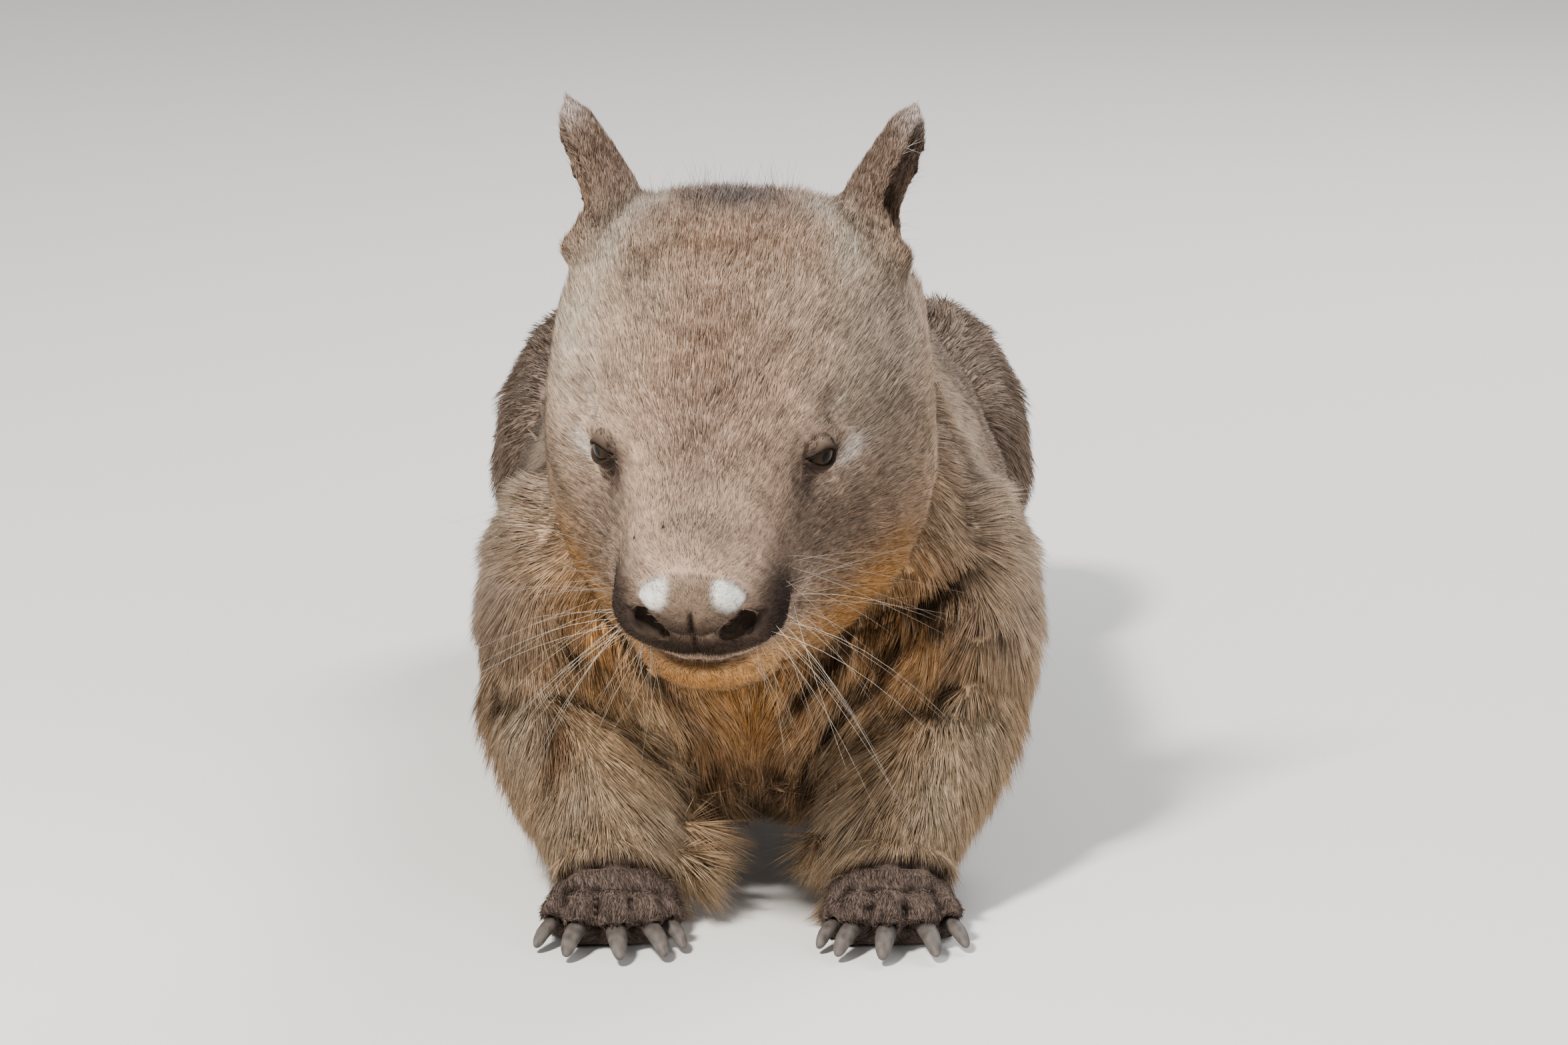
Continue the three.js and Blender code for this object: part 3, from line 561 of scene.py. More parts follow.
NOSE_MARKS_AND_SHADE = (
    Patch((0, -208, 42), (30, 16, 12), (0.22, 0.165, 0.125), 0.85, both=False),
    Patch((17, -201, 40), (8.2, 13, 8.6), (0.93, 0.90, 0.85), 1.0, edge=7.0),
    Patch((0, -210, 14), (30, 18, 15), (0.030, 0.020, 0.015), 0.95, both=False, edge=3.6),
    Patch((0, -212, 20), (1.8, 12, 14), (0.035, 0.024, 0.02), 0.95, both=False, edge=3.0),
    NOSTRIL,
)
EAR_MARKS = (
    Patch((66, -4, 66), (30, 30, 12), (0.34, 0.235, 0.155), 0.4),
    Patch((79, 26, 112), (10, 10, 9), (0.70, 0.62, 0.58), 0.8),
)
BODY_MARKS_AND_SHADE = (
    Patch((0, -305, 95), (42, 40, 40), OCHRE, 0.95, both=False),
    Patch((66, -290, 122), (34, 40, 44), OCHRE, 0.9),
    Patch((52, -300, 86), (26, 34, 22), PALE_OCHRE, 0.6),
    Patch((0, -250, 30), (60, 50, 18), PALE_OCHRE, 0.7, both=False),
    Patch((0, -300, 55), (26, 34, 20), (0.36, 0.22, 0.12), 0.6, both=False),
    Patch((118, -235, 130), (26, 46, 30), (0.72, 0.57, 0.46), 0.75),
    # Painted shade: the outer side of the right foreleg (-X) is darkened on that side only.
    Patch((-122, -250, 105), (24, 60, 44), (0.20, 0.14, 0.10), 0.75, both=False),
    Patch((112, -190, 190), (40, 80, 50), (0.78, 0.64, 0.54), 0.8),
    Patch((100, -282, 76), (22, 34, 18), CREAM, 0.55),
    Patch((80, -318, 60), (16, 30, 26), CREAM, 0.55),
    Patch((46, -312, 52), (12, 34, 26), CREAM, 0.45),
    Patch((122, -250, 60), (18, 50, 34), (0.40, 0.255, 0.15), 0.6),
    Patch((-86, -300, 76), (7, 24, 20), (0.27, 0.13, 0.055), 0.8, both=False),
    Patch((0, 0, 20), (90, 330, 20), (0.46, 0.34, 0.23), 0.6, both=False),
)


@dataclass(frozen=True)
class Fold:
    """A dark parting of the coat over a fold of the neck or the arm, with painted shade in the fold's
    crease.

    Attributes:
        path: its line as seen from the front, across and up, in millimetres.
        width: half its width, in millimetres.
        strength: how dark it is.
        spread: how far its soft edge runs beside its width.
    """

    path: tuple[tuple[float, float], ...]
    width: float = 3.0
    strength: float = 0.9
    spread: float = 1.75

    def cover(self, across: np.ndarray, up: np.ndarray) -> np.ndarray:
        """How much of the parting shows at each point, from 0 to 1."""
        nearest = np.full(len(across), 1e9)
        for start, end in zip(self.path, self.path[1:]):
            a, b = np.array(start), np.array(end)
            along = b - a
            t = ((across - a[0]) * along[0] + (up - a[1]) * along[1]) / (along @ along)
            t = np.clip(t, 0, 1)
            gap = np.hypot(across - a[0] - t * along[0], up - a[1] - t * along[1])
            taper = 0.45 + 0.55 * np.sin(math.pi * np.clip(t, 0.15, 0.85))
            nearest = np.minimum(nearest, gap / taper)
        return self.strength * np.exp(-((nearest / self.width / self.spread) ** 2))


# From where to where along the body the folds come in, in millimetres.
FOLDS_FADE = (-215, -245)
FOLDS = (
    Fold(((92, 147), (81, 140), (66, 135), (51, 128), (39, 117), (29, 105), (20, 92)), 3.6, 0.95),
    Fold(((96, 131), (81, 125), (69, 118), (59, 107), (47, 93), (35, 79)), 2.6, 0.9),
    Fold(((88, 138), (74, 130), (62, 121), (52, 109), (42, 97)), 1.6, 0.8),
    Fold(((112, 120), (95, 115)), 2.0, 0.85),
    Fold(((103, 97), (92, 97), (82, 91)), 1.8, 0.85),
    Fold(((105, 84), (88, 87), (72, 88)), 2.2, 0.8),
    Fold(((42, 74), (27, 62)), 2.4, 0.7),
    Fold(((-112, 89), (-95, 87)), 2.0, 0.75),
    Fold(((-91, 93), (-76, 91), (-62, 85)), 2.4, 0.85),
    Fold(((-86, 119), (-73, 111), (-60, 103)), 2.6, 0.7),
    Fold(((-93, 88), (-88, 77), (-84, 62)), 2.2, 0.55),
    Fold(((-55, 92), (-53, 72)), 1.8, 0.6),
    Fold(((-66, 128), (-50, 112), (-36, 96)), 2.4, 0.6),
    Fold(((60, 84), (57, 66)), 1.6, 0.5),
    Fold(((78, 76), (74, 60)), 1.6, 0.4),
)


@dataclass(frozen=True)
class Markings:
    """Where the coat's colours lie, the same for the skin and for every tuft, with painted shade in the
    folds, on the left temple, on the outer right foreleg and in the nostrils.

    Attributes:
        richness: how much fuller the colours are than their mixture.
        bleached: the colour of the pale hair that is mixed in on neck, breast and flanks.
        wander: how far a fold strays from its drawn line, in millimetres.
    """

    richness: float = 1.24
    bleached: Colour = (0.40, 0.32, 0.27)
    wander: float = 2.0

    @staticmethod
    def _layer(colour: np.ndarray, marks: tuple[Patch, ...], points: np.ndarray,
               amount: np.ndarray) -> np.ndarray:
        """Lays marks over a colour, one after another."""
        for mark in marks:
            colour = mixed(colour, mark.colour, mark.cover(points) * amount)
        return colour

    def partings_and_fold_shade(self, points: np.ndarray) -> np.ndarray:
        """Dark partings that run down and inwards over the folds of the neck: the coat's partings with
        painted shade in the folds' creases.
        """
        x, y, z = points.T / MM
        x = x + self.wander * ripple(points, 0.03, 5)
        z = z + self.wander * ripple(points, 0.03, 7)
        shown = np.max([fold.cover(x, z) for fold in FOLDS], axis=0)
        broken = np.clip(0.95 + 0.3 * ripple(points, 0.018, 6), 0, 1)
        return np.clip(shown * broken * 1.4, 0, 0.98) * smoothstep(*FOLDS_FADE, y)

    def colour(self, points: np.ndarray, weights: np.ndarray) -> np.ndarray:
        """The coat's colour at each point, painted shade included.

        Args:
            points: places on the skin, in the row frame.
            weights: how much each place belongs to each part.

        Returns:
            Linear colours, one row for each point.
        """
        head = HEAD.to_head(points)
        own = points - HEAD.shift()
        colour = weights @ np.array([BASE[part] for part in Part])
        mottled = 0.5 + 0.5 * np.clip(ripple(own, 0.045, 3) + 0.5 * ripple(own, 0.018, 4), -1, 1)
        flank = share_of(weights, Part.TORSO, Part.CHEST, Part.NECK)
        colour = mixed(colour, self.bleached, 0.5 * mottled * flank)
        on_head = share_of(weights, *HEAD_PARTS)
        on_ear = share_of(weights, Part.EAR)
        on_paw = share_of(weights, *PAW_PARTS)
        on_body = np.clip(1 - on_head - on_ear - on_paw, 0, 1)
        colour = self._layer(colour, BODY_MARKS_AND_SHADE, own, on_body)
        colour = self._layer(colour, HEAD_MARKS_AND_SHADE, head, np.clip(on_head + 0.12 * on_ear, 0, 1))
        colour = self._layer(colour, NOSE_MARKS_AND_SHADE, head, share_of(weights, Part.NOSE))
        for side in SIDES.values():
            colour = mixed(colour, LID, EyeSocket(side).shadow(head) * on_head)
        colour = self._layer(colour, EAR_MARKS, head, on_ear)
        # Painted shade: near-black partings over the folds of the neck and arms.
        colour = mixed(colour, PARTING_SHADE, self.partings_and_fold_shade(own) * on_body)
        for depth, wave, seed, where in ((0.10, 0.012, 8, 1.0), (0.12, 0.034, 9, on_head),
                                         (0.20, 0.017, 10, flank)):
            colour = colour * (1 + depth * ripple(own, wave, seed) * where)[:, None]
        grey = colour.mean(1, keepdims=True)
        return np.clip(grey + (colour - grey) * self.richness, 0.004, 0.95)


# The skin.


@dataclass(frozen=True)
class CoatSizes:
    """How the coat grows on one part of the body, in millimetres.

    Attributes:
        depth: how far the skin lies inside the frame.
        length: the length of a tuft.
        width: the width of a tuft at its middle.
        density: tufts to a square centimetre.
        lift: the angle, in degrees, at which a tuft leaves the skin.
        stray: how far a tuft wanders from the lie, in degrees.
        clump: how far tips are drawn together into locks, from 0 to 1.
    """

    depth: float
    length: float
    width: float
    density: float
    lift: float = 24.0
    stray: float = 10.0
    clump: float = 0.0


COAT: dict[Part, CoatSizes] = {
    Part.HEAD: CoatSizes(3.0, 8.0, 0.40, 122, 19, 10, 0.16),
    Part.LOWER_JAW: CoatSizes(3.0, 9.0, 0.40, 110, 22, 12, 0.2),
    Part.NOSE: CoatSizes(0.6, 1.9, 0.30, 170, 24, 20, 0.0),
    Part.EAR: CoatSizes(1.4, 5.0, 0.38, 120, 20, 14, 0.1),
    Part.NECK: CoatSizes(8.0, 14.5, 0.56, 84, 21, 10, 0.3),
    Part.CHEST: CoatSizes(8.0, 14.5, 0.60, 70, 21, 11, 0.3),
    Part.TORSO: CoatSizes(7.0, 15.0, 0.76, 30, 20, 12, 0.3),
    Part.RUMP: CoatSizes(7.0, 15.0, 0.78, 28, 20, 12, 0.3),
    Part.TAIL: CoatSizes(3.0, 11.0, 0.6, 50, 24, 12, 0.3),
    Part.FORELEG: CoatSizes(6.5, 19.0, 0.54, 84, 21, 11, 0.3),
    Part.FOREPAW: CoatSizes(0.6, 4.8, 0.38, 130, 18, 14, 0.1),
    Part.HINDLEG: CoatSizes(6.0, 15.0, 0.74, 32, 20, 12, 0.3),
    Part.HINDPAW: CoatSizes(0.6, 4.8, 0.44, 90, 18, 14, 0.1),
}


def coat_column(name: str) -> np.ndarray:
    """One size of the coat for every part, in the order of Part."""
    return np.array([float(getattr(COAT[part], name)) for part in Part])


@dataclass
class Surface:
    """The finished skin as arrays, for whatever grows from it.

    Attributes:
        points: its vertices.
        normals: the normal at each vertex.
        triangles: its triangles, as vertex numbers.
        weights: how much each vertex belongs to each part.
        lie: the way the coat lies at each vertex.
        colours: the coat's colour at each vertex, darkened with painted shade in the hollows.
        corner_uv: the place on the map of each triangle's corners.
    """

    points: np.ndarray
    normals: np.ndarray
    triangles: np.ndarray
    weights: np.ndarray
    lie: np.ndarray
    colours: np.ndarray
    corner_uv: np.ndarray


@dataclass(frozen=True)
class EyeSocket:
    """The lids round one eye, in the head's frame and in millimetres.

    Attributes:
        side: 1 on the left and -1 on the right.
        ball: the radius of the eyeball.
        out: how far the gaze turns outwards.
        up: how far it turns upwards.
        cant: how far the outer corner lies above the inner one.
        half_width: half the width of the opening.
        above: how high the opening rises in its middle.
        below: how low it sinks in its middle.
        lid: how far the lids stand off the ball.
        ridge: how far their edge stands up, how far outside the opening, and half its width.
        crease: how deep the crease over the lid is, and how far above the opening.
        sunk: how far the skin under the opening lies behind the ball's surface.
        blend: how far from the eye the lids run out into the face.
        held: up to where they follow the ball.
        shade: half the width and half the height of the dark round the lids.
    """

    side: float
    ball: float = 8.5
    out: float = math.radians(50)
    up: float = math.radians(10)
    cant: float = math.radians(20)
    half_width: float = 8.4
    above: float = 4.4
    below: float = 3.8
    lid: float = 1.1
    ridge: tuple[float, float, float] = (0.9, 1.1, 0.9)
    crease: tuple[float, float] = (1.1, 3.6)
    sunk: float = 3.2
    blend: float = 19.0
    held: float = 7.0
    shade: tuple[float, float] = (12.6, 8.4)

    def axes(self) -> np.ndarray:
        """Rows: along the opening, up the eye, and out along its gaze."""
        gaze = np.array((
            self.side * math.sin(self.out) * math.cos(self.up),
            -math.cos(self.out) * math.cos(self.up),
            math.sin(self.up),
        ))
        level = unit(np.cross((0.0, 0.0, 1.0), gaze))
        rise = np.cross(gaze, level)
        turn = self.side * self.cant
        along = level * math.cos(turn) - rise * math.sin(turn)
        return np.array((along, np.cross(gaze, along), gaze))

    def centre(self) -> np.ndarray:
        """The middle of the ball in the head's frame."""
        return np.array(HEAD.eye) * (self.side, 1.0, 1.0)

    def front(self) -> np.ndarray:
        """The foremost point of the ball in the head's frame."""
        return self.centre() + self.axes()[2] * self.ball * MM

    def shadow(self, head: np.ndarray) -> np.ndarray:
        """How far the dark of the lids covers each point, from 0 to 1."""
        u, v, w = ((head - self.centre()) @ self.axes().T / MM).T
        wide, high = self.shade
        return np.exp(-(((u / wide) ** 2 + ((v - 0.2) / high) ** 2) ** 2.4)) * (w > 0)

    def shape(self, head: np.ndarray) -> np.ndarray:
        """Moves points of the skin to make the lids and their opening.

        Args:
            head: points of the skin in the head's frame.

        Returns:
            The same points, moved near this eye.
        """
        axes, centre = self.axes(), self.centre()
        local = (head - centre) @ axes.T / MM
        u, v, w = local.T
        near = np.hypot(u, v) < self.blend
        near &= w > 0
        u, v, w = u[near], v[near], w[near]
        arch = np.clip(1 - (u / self.half_width) ** 2, 0, 1)
        rim = np.where(v > 0.2, self.above * arch - v, self.below * arch + v)
        rim = np.where(np.abs(u) > self.half_width, self.half_width - np.abs(u), rim)
        inside = smoothstep(-0.15, 0.75, rim)
        spread = np.hypot(u, v)
        ball = np.sqrt(np.maximum(self.ball**2 - np.minimum(spread, 8.0) ** 2, 4.0))
        lid = np.sqrt(np.maximum((self.ball + self.lid) ** 2 - np.minimum(spread, 9.0) ** 2, 9.0))
        lid = lid + self.ridge[0] * bell(rim + self.ridge[1], self.ridge[2])
        crease = bell(v - self.above * arch - self.crease[1], 1.0) * (v > 0)
        lid = lid - self.crease[0] * crease * arch
        held = smoothstep(self.blend, self.held, spread)
        settled = w * (1 - held) + lid * held
        local[near, 2] = settled * (1 - inside) + (ball - self.sunk) * inside
        return local * MM @ axes + centre


@dataclass(frozen=True)
class Muzzle:
    """The small forms of nose and mouth, in the head's frame and in millimetres.

    Attributes:
        groove: half the width and the depth of the groove down the nose.
        mouth: half the width and the depth of the mouth line.
        level: the height of the mouth line in the middle.
        drop: how far it falls towards its corners.
        lips: half the height of the lips' swell, its strength, and how far above the line it lies.
        cleft: half the width and the depth of the cleft of the upper lip.
        nostril: the middle of a nostril, across and up.
        slit: half the length and half the height of its opening.
        tail: the middle of its outer tail, along and across the slit.
        tail_size: half the length and half the height of that tail.
        pit: how deep it goes in, and how far it turns inwards.
    """

    groove: tuple[float, float] = (1.25, 2.2)
    mouth: tuple[float, float] = (1.5, 4.0)
    level: float = -13.0
    drop: float = 4.5
    lips: tuple[float, float, float] = (3.2, 1.1, 5.0)
    cleft: tuple[float, float] = (1.5, 2.0)
    nostril: tuple[float, float] = (19.5, 20.5)
    slit: tuple[float, float] = (6.4, 2.9)
    tail: tuple[float, float] = (6.0, -2.6)
    tail_size: tuple[float, float] = (4.2, 1.6)
    pit: tuple[float, float] = (6.0, 1.2)

    def shape(self, head: np.ndarray) -> np.ndarray:
        """Moves points of the skin to make the nostrils, the lips and the grooves.

        Args:
            head: points of the skin in the head's frame.

        Returns:
            The same points, moved on the muzzle.
        """
        x, y, z = head.T / MM
        groove = bell(x, self.groove[0]) * smoothstep(8, 14, z) * smoothstep(37, 30, z)
        y = y + self.groove[1] * groove * smoothstep(-196, -204, y)
        head = self._mouth(x, y, z, smoothstep(-150, -185, head[:, 1] / MM))
        cleft = bell(head[:, 0], self.cleft[0]) * smoothstep(-13, -8, z) * smoothstep(10, 6, z)
        head[:, 1] += self.cleft[1] * cleft * smoothstep(-185, -195, head[:, 1])
        for side in SIDES.values():
            deep = self._nostril(head[:, 0] * side, z) * smoothstep(-184, -194, head[:, 1])
            head[:, 1] += self.pit[0] * deep
            head[:, 0] -= side * self.pit[1] * deep
        return head * MM

    def _mouth(self, x: np.ndarray, y: np.ndarray, z: np.ndarray, front: np.ndarray) -> np.ndarray:
        """Presses the mouth line in and swells the lips, and returns the points as rows."""
        level = self.level - (np.minimum(np.abs(x), 60) / 40) ** 2 * self.drop
        line = bell(z - level, self.mouth[0]) * front
        lips = bell(z - level - self.lips[2], self.lips[0]) * front
        inward = unit(np.stack((x, np.minimum(y + 165, -1), np.zeros_like(x)), 1))
        push = (-self.mouth[1] * line + self.lips[1] * lips)[:, None]
        return np.stack((x, y, z), 1) + inward * push

    def _nostril(self, across: np.ndarray, up: np.ndarray) -> np.ndarray:
        """How deep the nostril's slit and its tail are at each point, from 0 to 1."""
        right, rise = across - self.nostril[0], up - self.nostril[1]
        u = right * 0.87 + rise * 0.5
        v = -right * 0.5 + rise * 0.87
        slit = np.exp(-(((u / self.slit[0]) ** 2 + (v / self.slit[1]) ** 2) ** 1.4))
        u, v = (u - self.tail[0]) / self.tail_size[0], (v - self.tail[1]) / self.tail_size[1]
        return np.clip(slit + 0.5 * np.exp(-(u**2 + v**2)), 0, 1)


@dataclass
class Hide:
    """One skin over the whole body, inside the frame by the depth of the coat.

    Attributes:
        voxel: the grain at which the flesh nodes are fused, in metres.
        kept: the share of the faces that stays after thinning.
        ear_growth: how far the thin ears swell before they are fused, in metres.
        plug: how much larger than its eye the ball is that fills a socket, in millimetres.
        finer: how far round an eye, and how far back on the muzzle, each cut goes, in millimetres.
        border: rounds of smoothing that make the borders of the parts soft.
        smoothing: rounds of smoothing on the body.
        ear_smoothing: rounds on the ears.
        paw_smoothing: rounds on the paws.
        paw_relief: how strongly the toes are brought out again.
        relief_rounds: rounds of smoothing that toes and hollows are measured against.
        lock_thickness: the greatest thickness of a lock that is drawn in, in metres.
        lock_smoothing: rounds that spread a lock over its root.
        ear_base: where the lip of an ear's cup meets the cheek, in the head's frame.
        calm_reach: how far round there the skin is evened out, in metres.
        calm_smoothing: rounds of smoothing there.
        step_smoothing: rounds of smoothing that find the step behind the head.
        fold_depth: how deep the folds are pressed in, in millimetres.
        parts: the flesh nodes and the part that each one is.
    """

    voxel: float = 0.0025
    kept: float = 0.40
    ear_growth: float = 0.0020
    plug: float = 1.2
    finer: tuple[tuple[float, float], ...] = ((16.0, -160.0), (12.5, -170.0))
    border: int = 14
    smoothing: int = 10
    ear_smoothing: int = 26
    paw_smoothing: int = 5
    paw_relief: float = 1.0
    relief_rounds: int = 10
    lock_thickness: float = 0.009
    lock_smoothing: int = 160
    ear_base: tuple[float, float, float] = (0.079, -0.002, 0.060)
    calm_reach: float = 0.018
    calm_smoothing: int = 220
    step_smoothing: int = 160
    fold_depth: float = 2.4
    parts: dict[str, Part] = field(default_factory=flesh_nodes)

    def _gather(self) -> tuple[bpy.types.Object, BVHTree, np.ndarray]:
        """Joins copies of the flesh nodes and of the eyes that fill their sockets.

        Returns:
            The joined object, a tree over its faces, and each face's part.
        """
        joined = bmesh.new()
        labels: list[int] = []
        for name, part in self.parts.items():
            joined.from_mesh(self._copy(name, self.ear_growth if part is Part.EAR else 0.0))
            labels += [part.value] * (len(joined.faces) - len(labels))
        tree = BVHTree.FromBMesh(joined)
        for side in SIDES.values():
            socket = EyeSocket(side)
            place = Matrix.Translation(Vector(HEAD.to_row(socket.centre()[None])[0]))
            radius = (socket.ball + self.plug) * MM
            bmesh.ops.create_uvsphere(joined, u_segments=24, v_segments=16, radius=radius, matrix=place)
        return show(poured(joined, "skin"), "skin"), tree, np.array(labels)

    @staticmethod
    def _copy(name: str, growth: float) -> bpy.types.Mesh:
        """A copy of a flesh node with joined faces, swollen where its wall is thin."""
        shell = copied(name)
        shell.normal_update()
        for vertex in shell.verts:
            vertex.co += vertex.normal * growth
        return poured(shell, "copy_" + name)

    def _remesh(self, obj: bpy.types.Object) -> None:
        """Fuses the joined copies into one closed surface."""
        fuse = obj.modifiers.new("fuse", "REMESH")
        fuse.mode = "VOXEL"
        fuse.voxel_size = self.voxel
        thin = obj.modifiers.new("thin", "DECIMATE")
        thin.ratio = self.kept
        apply_modifiers(obj)
        change(obj.data, self._drop_scraps)

    @staticmethod
    def _drop_scraps(body: bmesh.types.BMesh) -> None:
        """Keeps the largest closed surface and drops what sealed hollows left inside it."""
        unseen, islands = set(body.verts), []
        while unseen:
            front = [unseen.pop()]
            island = []
            while front:
                vertex = front.pop()
                island.append(vertex)
                for edge in vertex.link_edges:
                    other = edge.other_vert(vertex)
                    if other in unseen:
                        unseen.remove(other)
                        front.append(other)
            islands.append(island)
        islands.sort(key=len)
        for island in islands[:-1]:
            bmesh.ops.delete(body, geom=island, context="VERTS")

    def _refine(self, body: bmesh.types.BMesh) -> None:
        """Cuts the faces round the eyes, the nose and the mouth finer."""
        for reach, nose in self.finer:
            points = HEAD.to_head(np.array([v.co for v in body.verts]))
            chosen = (points[:, 1] < nose * MM) & (points[:, 2] > -0.045)
            chosen &= np.abs(points[:, 0]) < 0.05
            for side in SIDES.values():
                chosen |= np.linalg.norm(points - EyeSocket(side).front(), axis=1) < reach * MM
            body.verts.ensure_lookup_table()
            edges = [e for e in body.edges if chosen[e.verts[0].index] and chosen[e.verts[1].index]]
            bmesh.ops.subdivide_edges(body, edges=edges, cuts=1, use_grid_fill=True, smooth=0.4)
            body.verts.index_update()

    def _weigh(self, points: np.ndarray, edges: np.ndarray, tree: BVHTree,
               labels: np.ndarray) -> np.ndarray:
        """How much each vertex belongs to each part, soft at the borders."""
        weights = np.zeros((len(points), len(Part)))
        for i, point in enumerate(points):
            found = tree.find_nearest(Vector(point))[2]
            weights[i, labels[min(found, len(labels) - 1)]] = 1.0
        return relaxed(weights, edges, self.border)

    def _without_locks(self, mesh: bpy.types.Mesh, points: np.ndarray, edges: np.ndarray,
                       weights: np.ndarray) -> np.ndarray:
        """Draws the frame's thin locks back into the body that they grow from.

        Args:
            mesh: the fused mesh.
            points: its vertices.
            edges: its edges.
            weights: how much each vertex belongs to each part.

        Returns:
            The vertices with those of the locks spread smoothly over their roots.
        """
        tree = BVHTree.FromPolygons([Vector(p) for p in points],
                                    [tuple(f.vertices) for f in mesh.polygons])
        hairy = share_of(weights, Part.CHEST, Part.FORELEG, Part.NECK) > 0.5
        normals = read_normals(mesh)
        thin = np.zeros((len(points), 1))
        for i in np.flatnonzero(hairy):
            inward = Vector(-normals[i])
            reached = tree.ray_cast(Vector(points[i]) + inward * 1e-4, inward, self.lock_thickness)
            thin[i] = reached[0] is not None
        thin = (relaxed(thin, edges, 5) > 0.03).astype(float)
        calm = points
        for _ in range(self.lock_smoothing):
            calm = points + (relaxed(calm, edges, 1) - points) * thin
        return calm

    def _calmed(self, points: np.ndarray, edges: np.ndarray) -> np.ndarray:
        """Evens out the lip of each ear's cup where it runs into the cheek."""
        head = HEAD.to_head(points)
        near = np.zeros((len(points), 1))
        for side in SIDES.values():
            away = head - np.array(self.ear_base) * (side, 1.0, 1.0)
            near[:, 0] += np.exp(-((away**2).sum(1) / self.calm_reach**2) ** 1.5)
        return points * (1 - near) + relaxed(points, edges, self.calm_smoothing) * near

    def _filled(self, points: np.ndarray, edges: np.ndarray, normals: np.ndarray,
                weights: np.ndarray) -> np.ndarray:
        """Fills the step behind the head, so that head and neck run into one another."""
        behind = share_of(weights, Part.NECK, Part.CHEST, Part.TORSO)
        meeting = relaxed((share_of(weights, Part.HEAD) * behind)[:, None], edges, 30)
        head = HEAD.to_head(points)
        amount = np.clip(meeting[:, 0] * 12, 0, 1) * smoothstep(-0.03, 0.0, head[:, 2])
        out = ((relaxed(points, edges, self.step_smoothing) - points) * normals).sum(1)
        return points + normals * (np.clip(out, 0, None) * amount)[:, None]

    def _crease(self, points: np.ndarray, normals: np.ndarray) -> np.ndarray:
        """Presses the folds of the neck and arms into the skin."""
        own = points - HEAD.shift()
        across, up = own[:, 0] / MM, own[:, 2] / MM
        deep = np.max([fold.cover(across, up) for fold in FOLDS], axis=0)
        deep = deep * smoothstep(*FOLDS_FADE, own[:, 1] / MM) * np.clip(-normals[:, 1] * 2, 0, 1)
        return points - normals * (deep * self.fold_depth * MM)[:, None]

    @staticmethod
    def _down_foreleg(x: np.ndarray, z: np.ndarray, facing: np.ndarray) -> np.ndarray:
        """The coat's way on the forelegs: back over the shoulder, then down and inwards."""
        side = np.sign(x)
        low = smoothstep(0.10, 0.05, z)
        inner = smoothstep(0.075, 0.045, np.abs(x))
        high = smoothstep(0.065, 0.105, z) * np.clip(facing * 1.6, 0, 1)
        top = smoothstep(0.115, 0.175, z)
        leg_x = -side * (0.12 + 0.5 * inner + 0.55 * high) * (1 - top) + 0.3 * side * top
        leg_y = (0.35 * (1 - low) - 0.30 * low) * (1 - top) + 0.9 * top
        return np.stack((leg_x, leg_y, -1 + 0.3 * high + 0.2 * top), 1)

    @staticmethod
    def _lie(points: np.ndarray, normals: np.ndarray, weights: np.ndarray,
             edges: np.ndarray) -> np.ndarray:
        """The way the coat lies at each vertex, along the skin.

        It runs back from the nose over the head and body, down the sides and the legs, down and
        inwards over the breast, and forwards over the toes.
        """
        own, head = points - HEAD.shift(), HEAD.to_head(points)
        x, z = own[:, 0], own[:, 2]
        one, none = np.ones(len(points)), np.zeros(len(points))
        facing = np.clip(-normals[:, 1], 0, 1)[:, None]
        back = np.stack((none, one, -3.5 * np.abs(x)), 1)
        over = np.stack((0.3 * np.tanh(x / 0.05), 0.7 * one, -0.7 * np.tanh(np.abs(x) / 0.05)), 1)
        down_in = np.stack((-0.85 * np.tanh(x / 0.02), 0.2 * one, -0.85 * one), 1)
        chest = over * (1 - facing) + down_in * facing
        from_nose = HEAD.way_to_row(unit(head - np.array((0.0, -0.222, 0.03))))
        ear = HEAD.way_to_row(np.stack((0.2 * np.sign(x), 0.62 * one, 0.75 * one), 1))
        toes = np.stack((none, -one, -0.3 * one), 1)
        ways = {
            Part.HEAD: from_nose, Part.LOWER_JAW: from_nose, Part.NOSE: from_nose, Part.EAR: ear,
            Part.NECK: chest, Part.CHEST: chest, Part.TORSO: back,
            Part.RUMP: np.stack((none, 0.7 * one, -0.8 * one), 1),
            Part.TAIL: np.stack((none, 0.5 * one, -one), 1),
            Part.FORELEG: Hide._down_foreleg(x, z, -normals[:, 1]), Part.FOREPAW: toes,
            Part.HINDLEG: np.stack((none, 0.5 * one, -one), 1), Part.HINDPAW: toes,
        }
        lie = sum(weights[:, [part.value]] * unit(way) for part, way in ways.items())
        for rounds in (0, 16, 16):
            lie = relaxed(lie, edges, rounds)
            lie = unit(lie - normals * (lie * normals).sum(1, keepdims=True))
        return lie

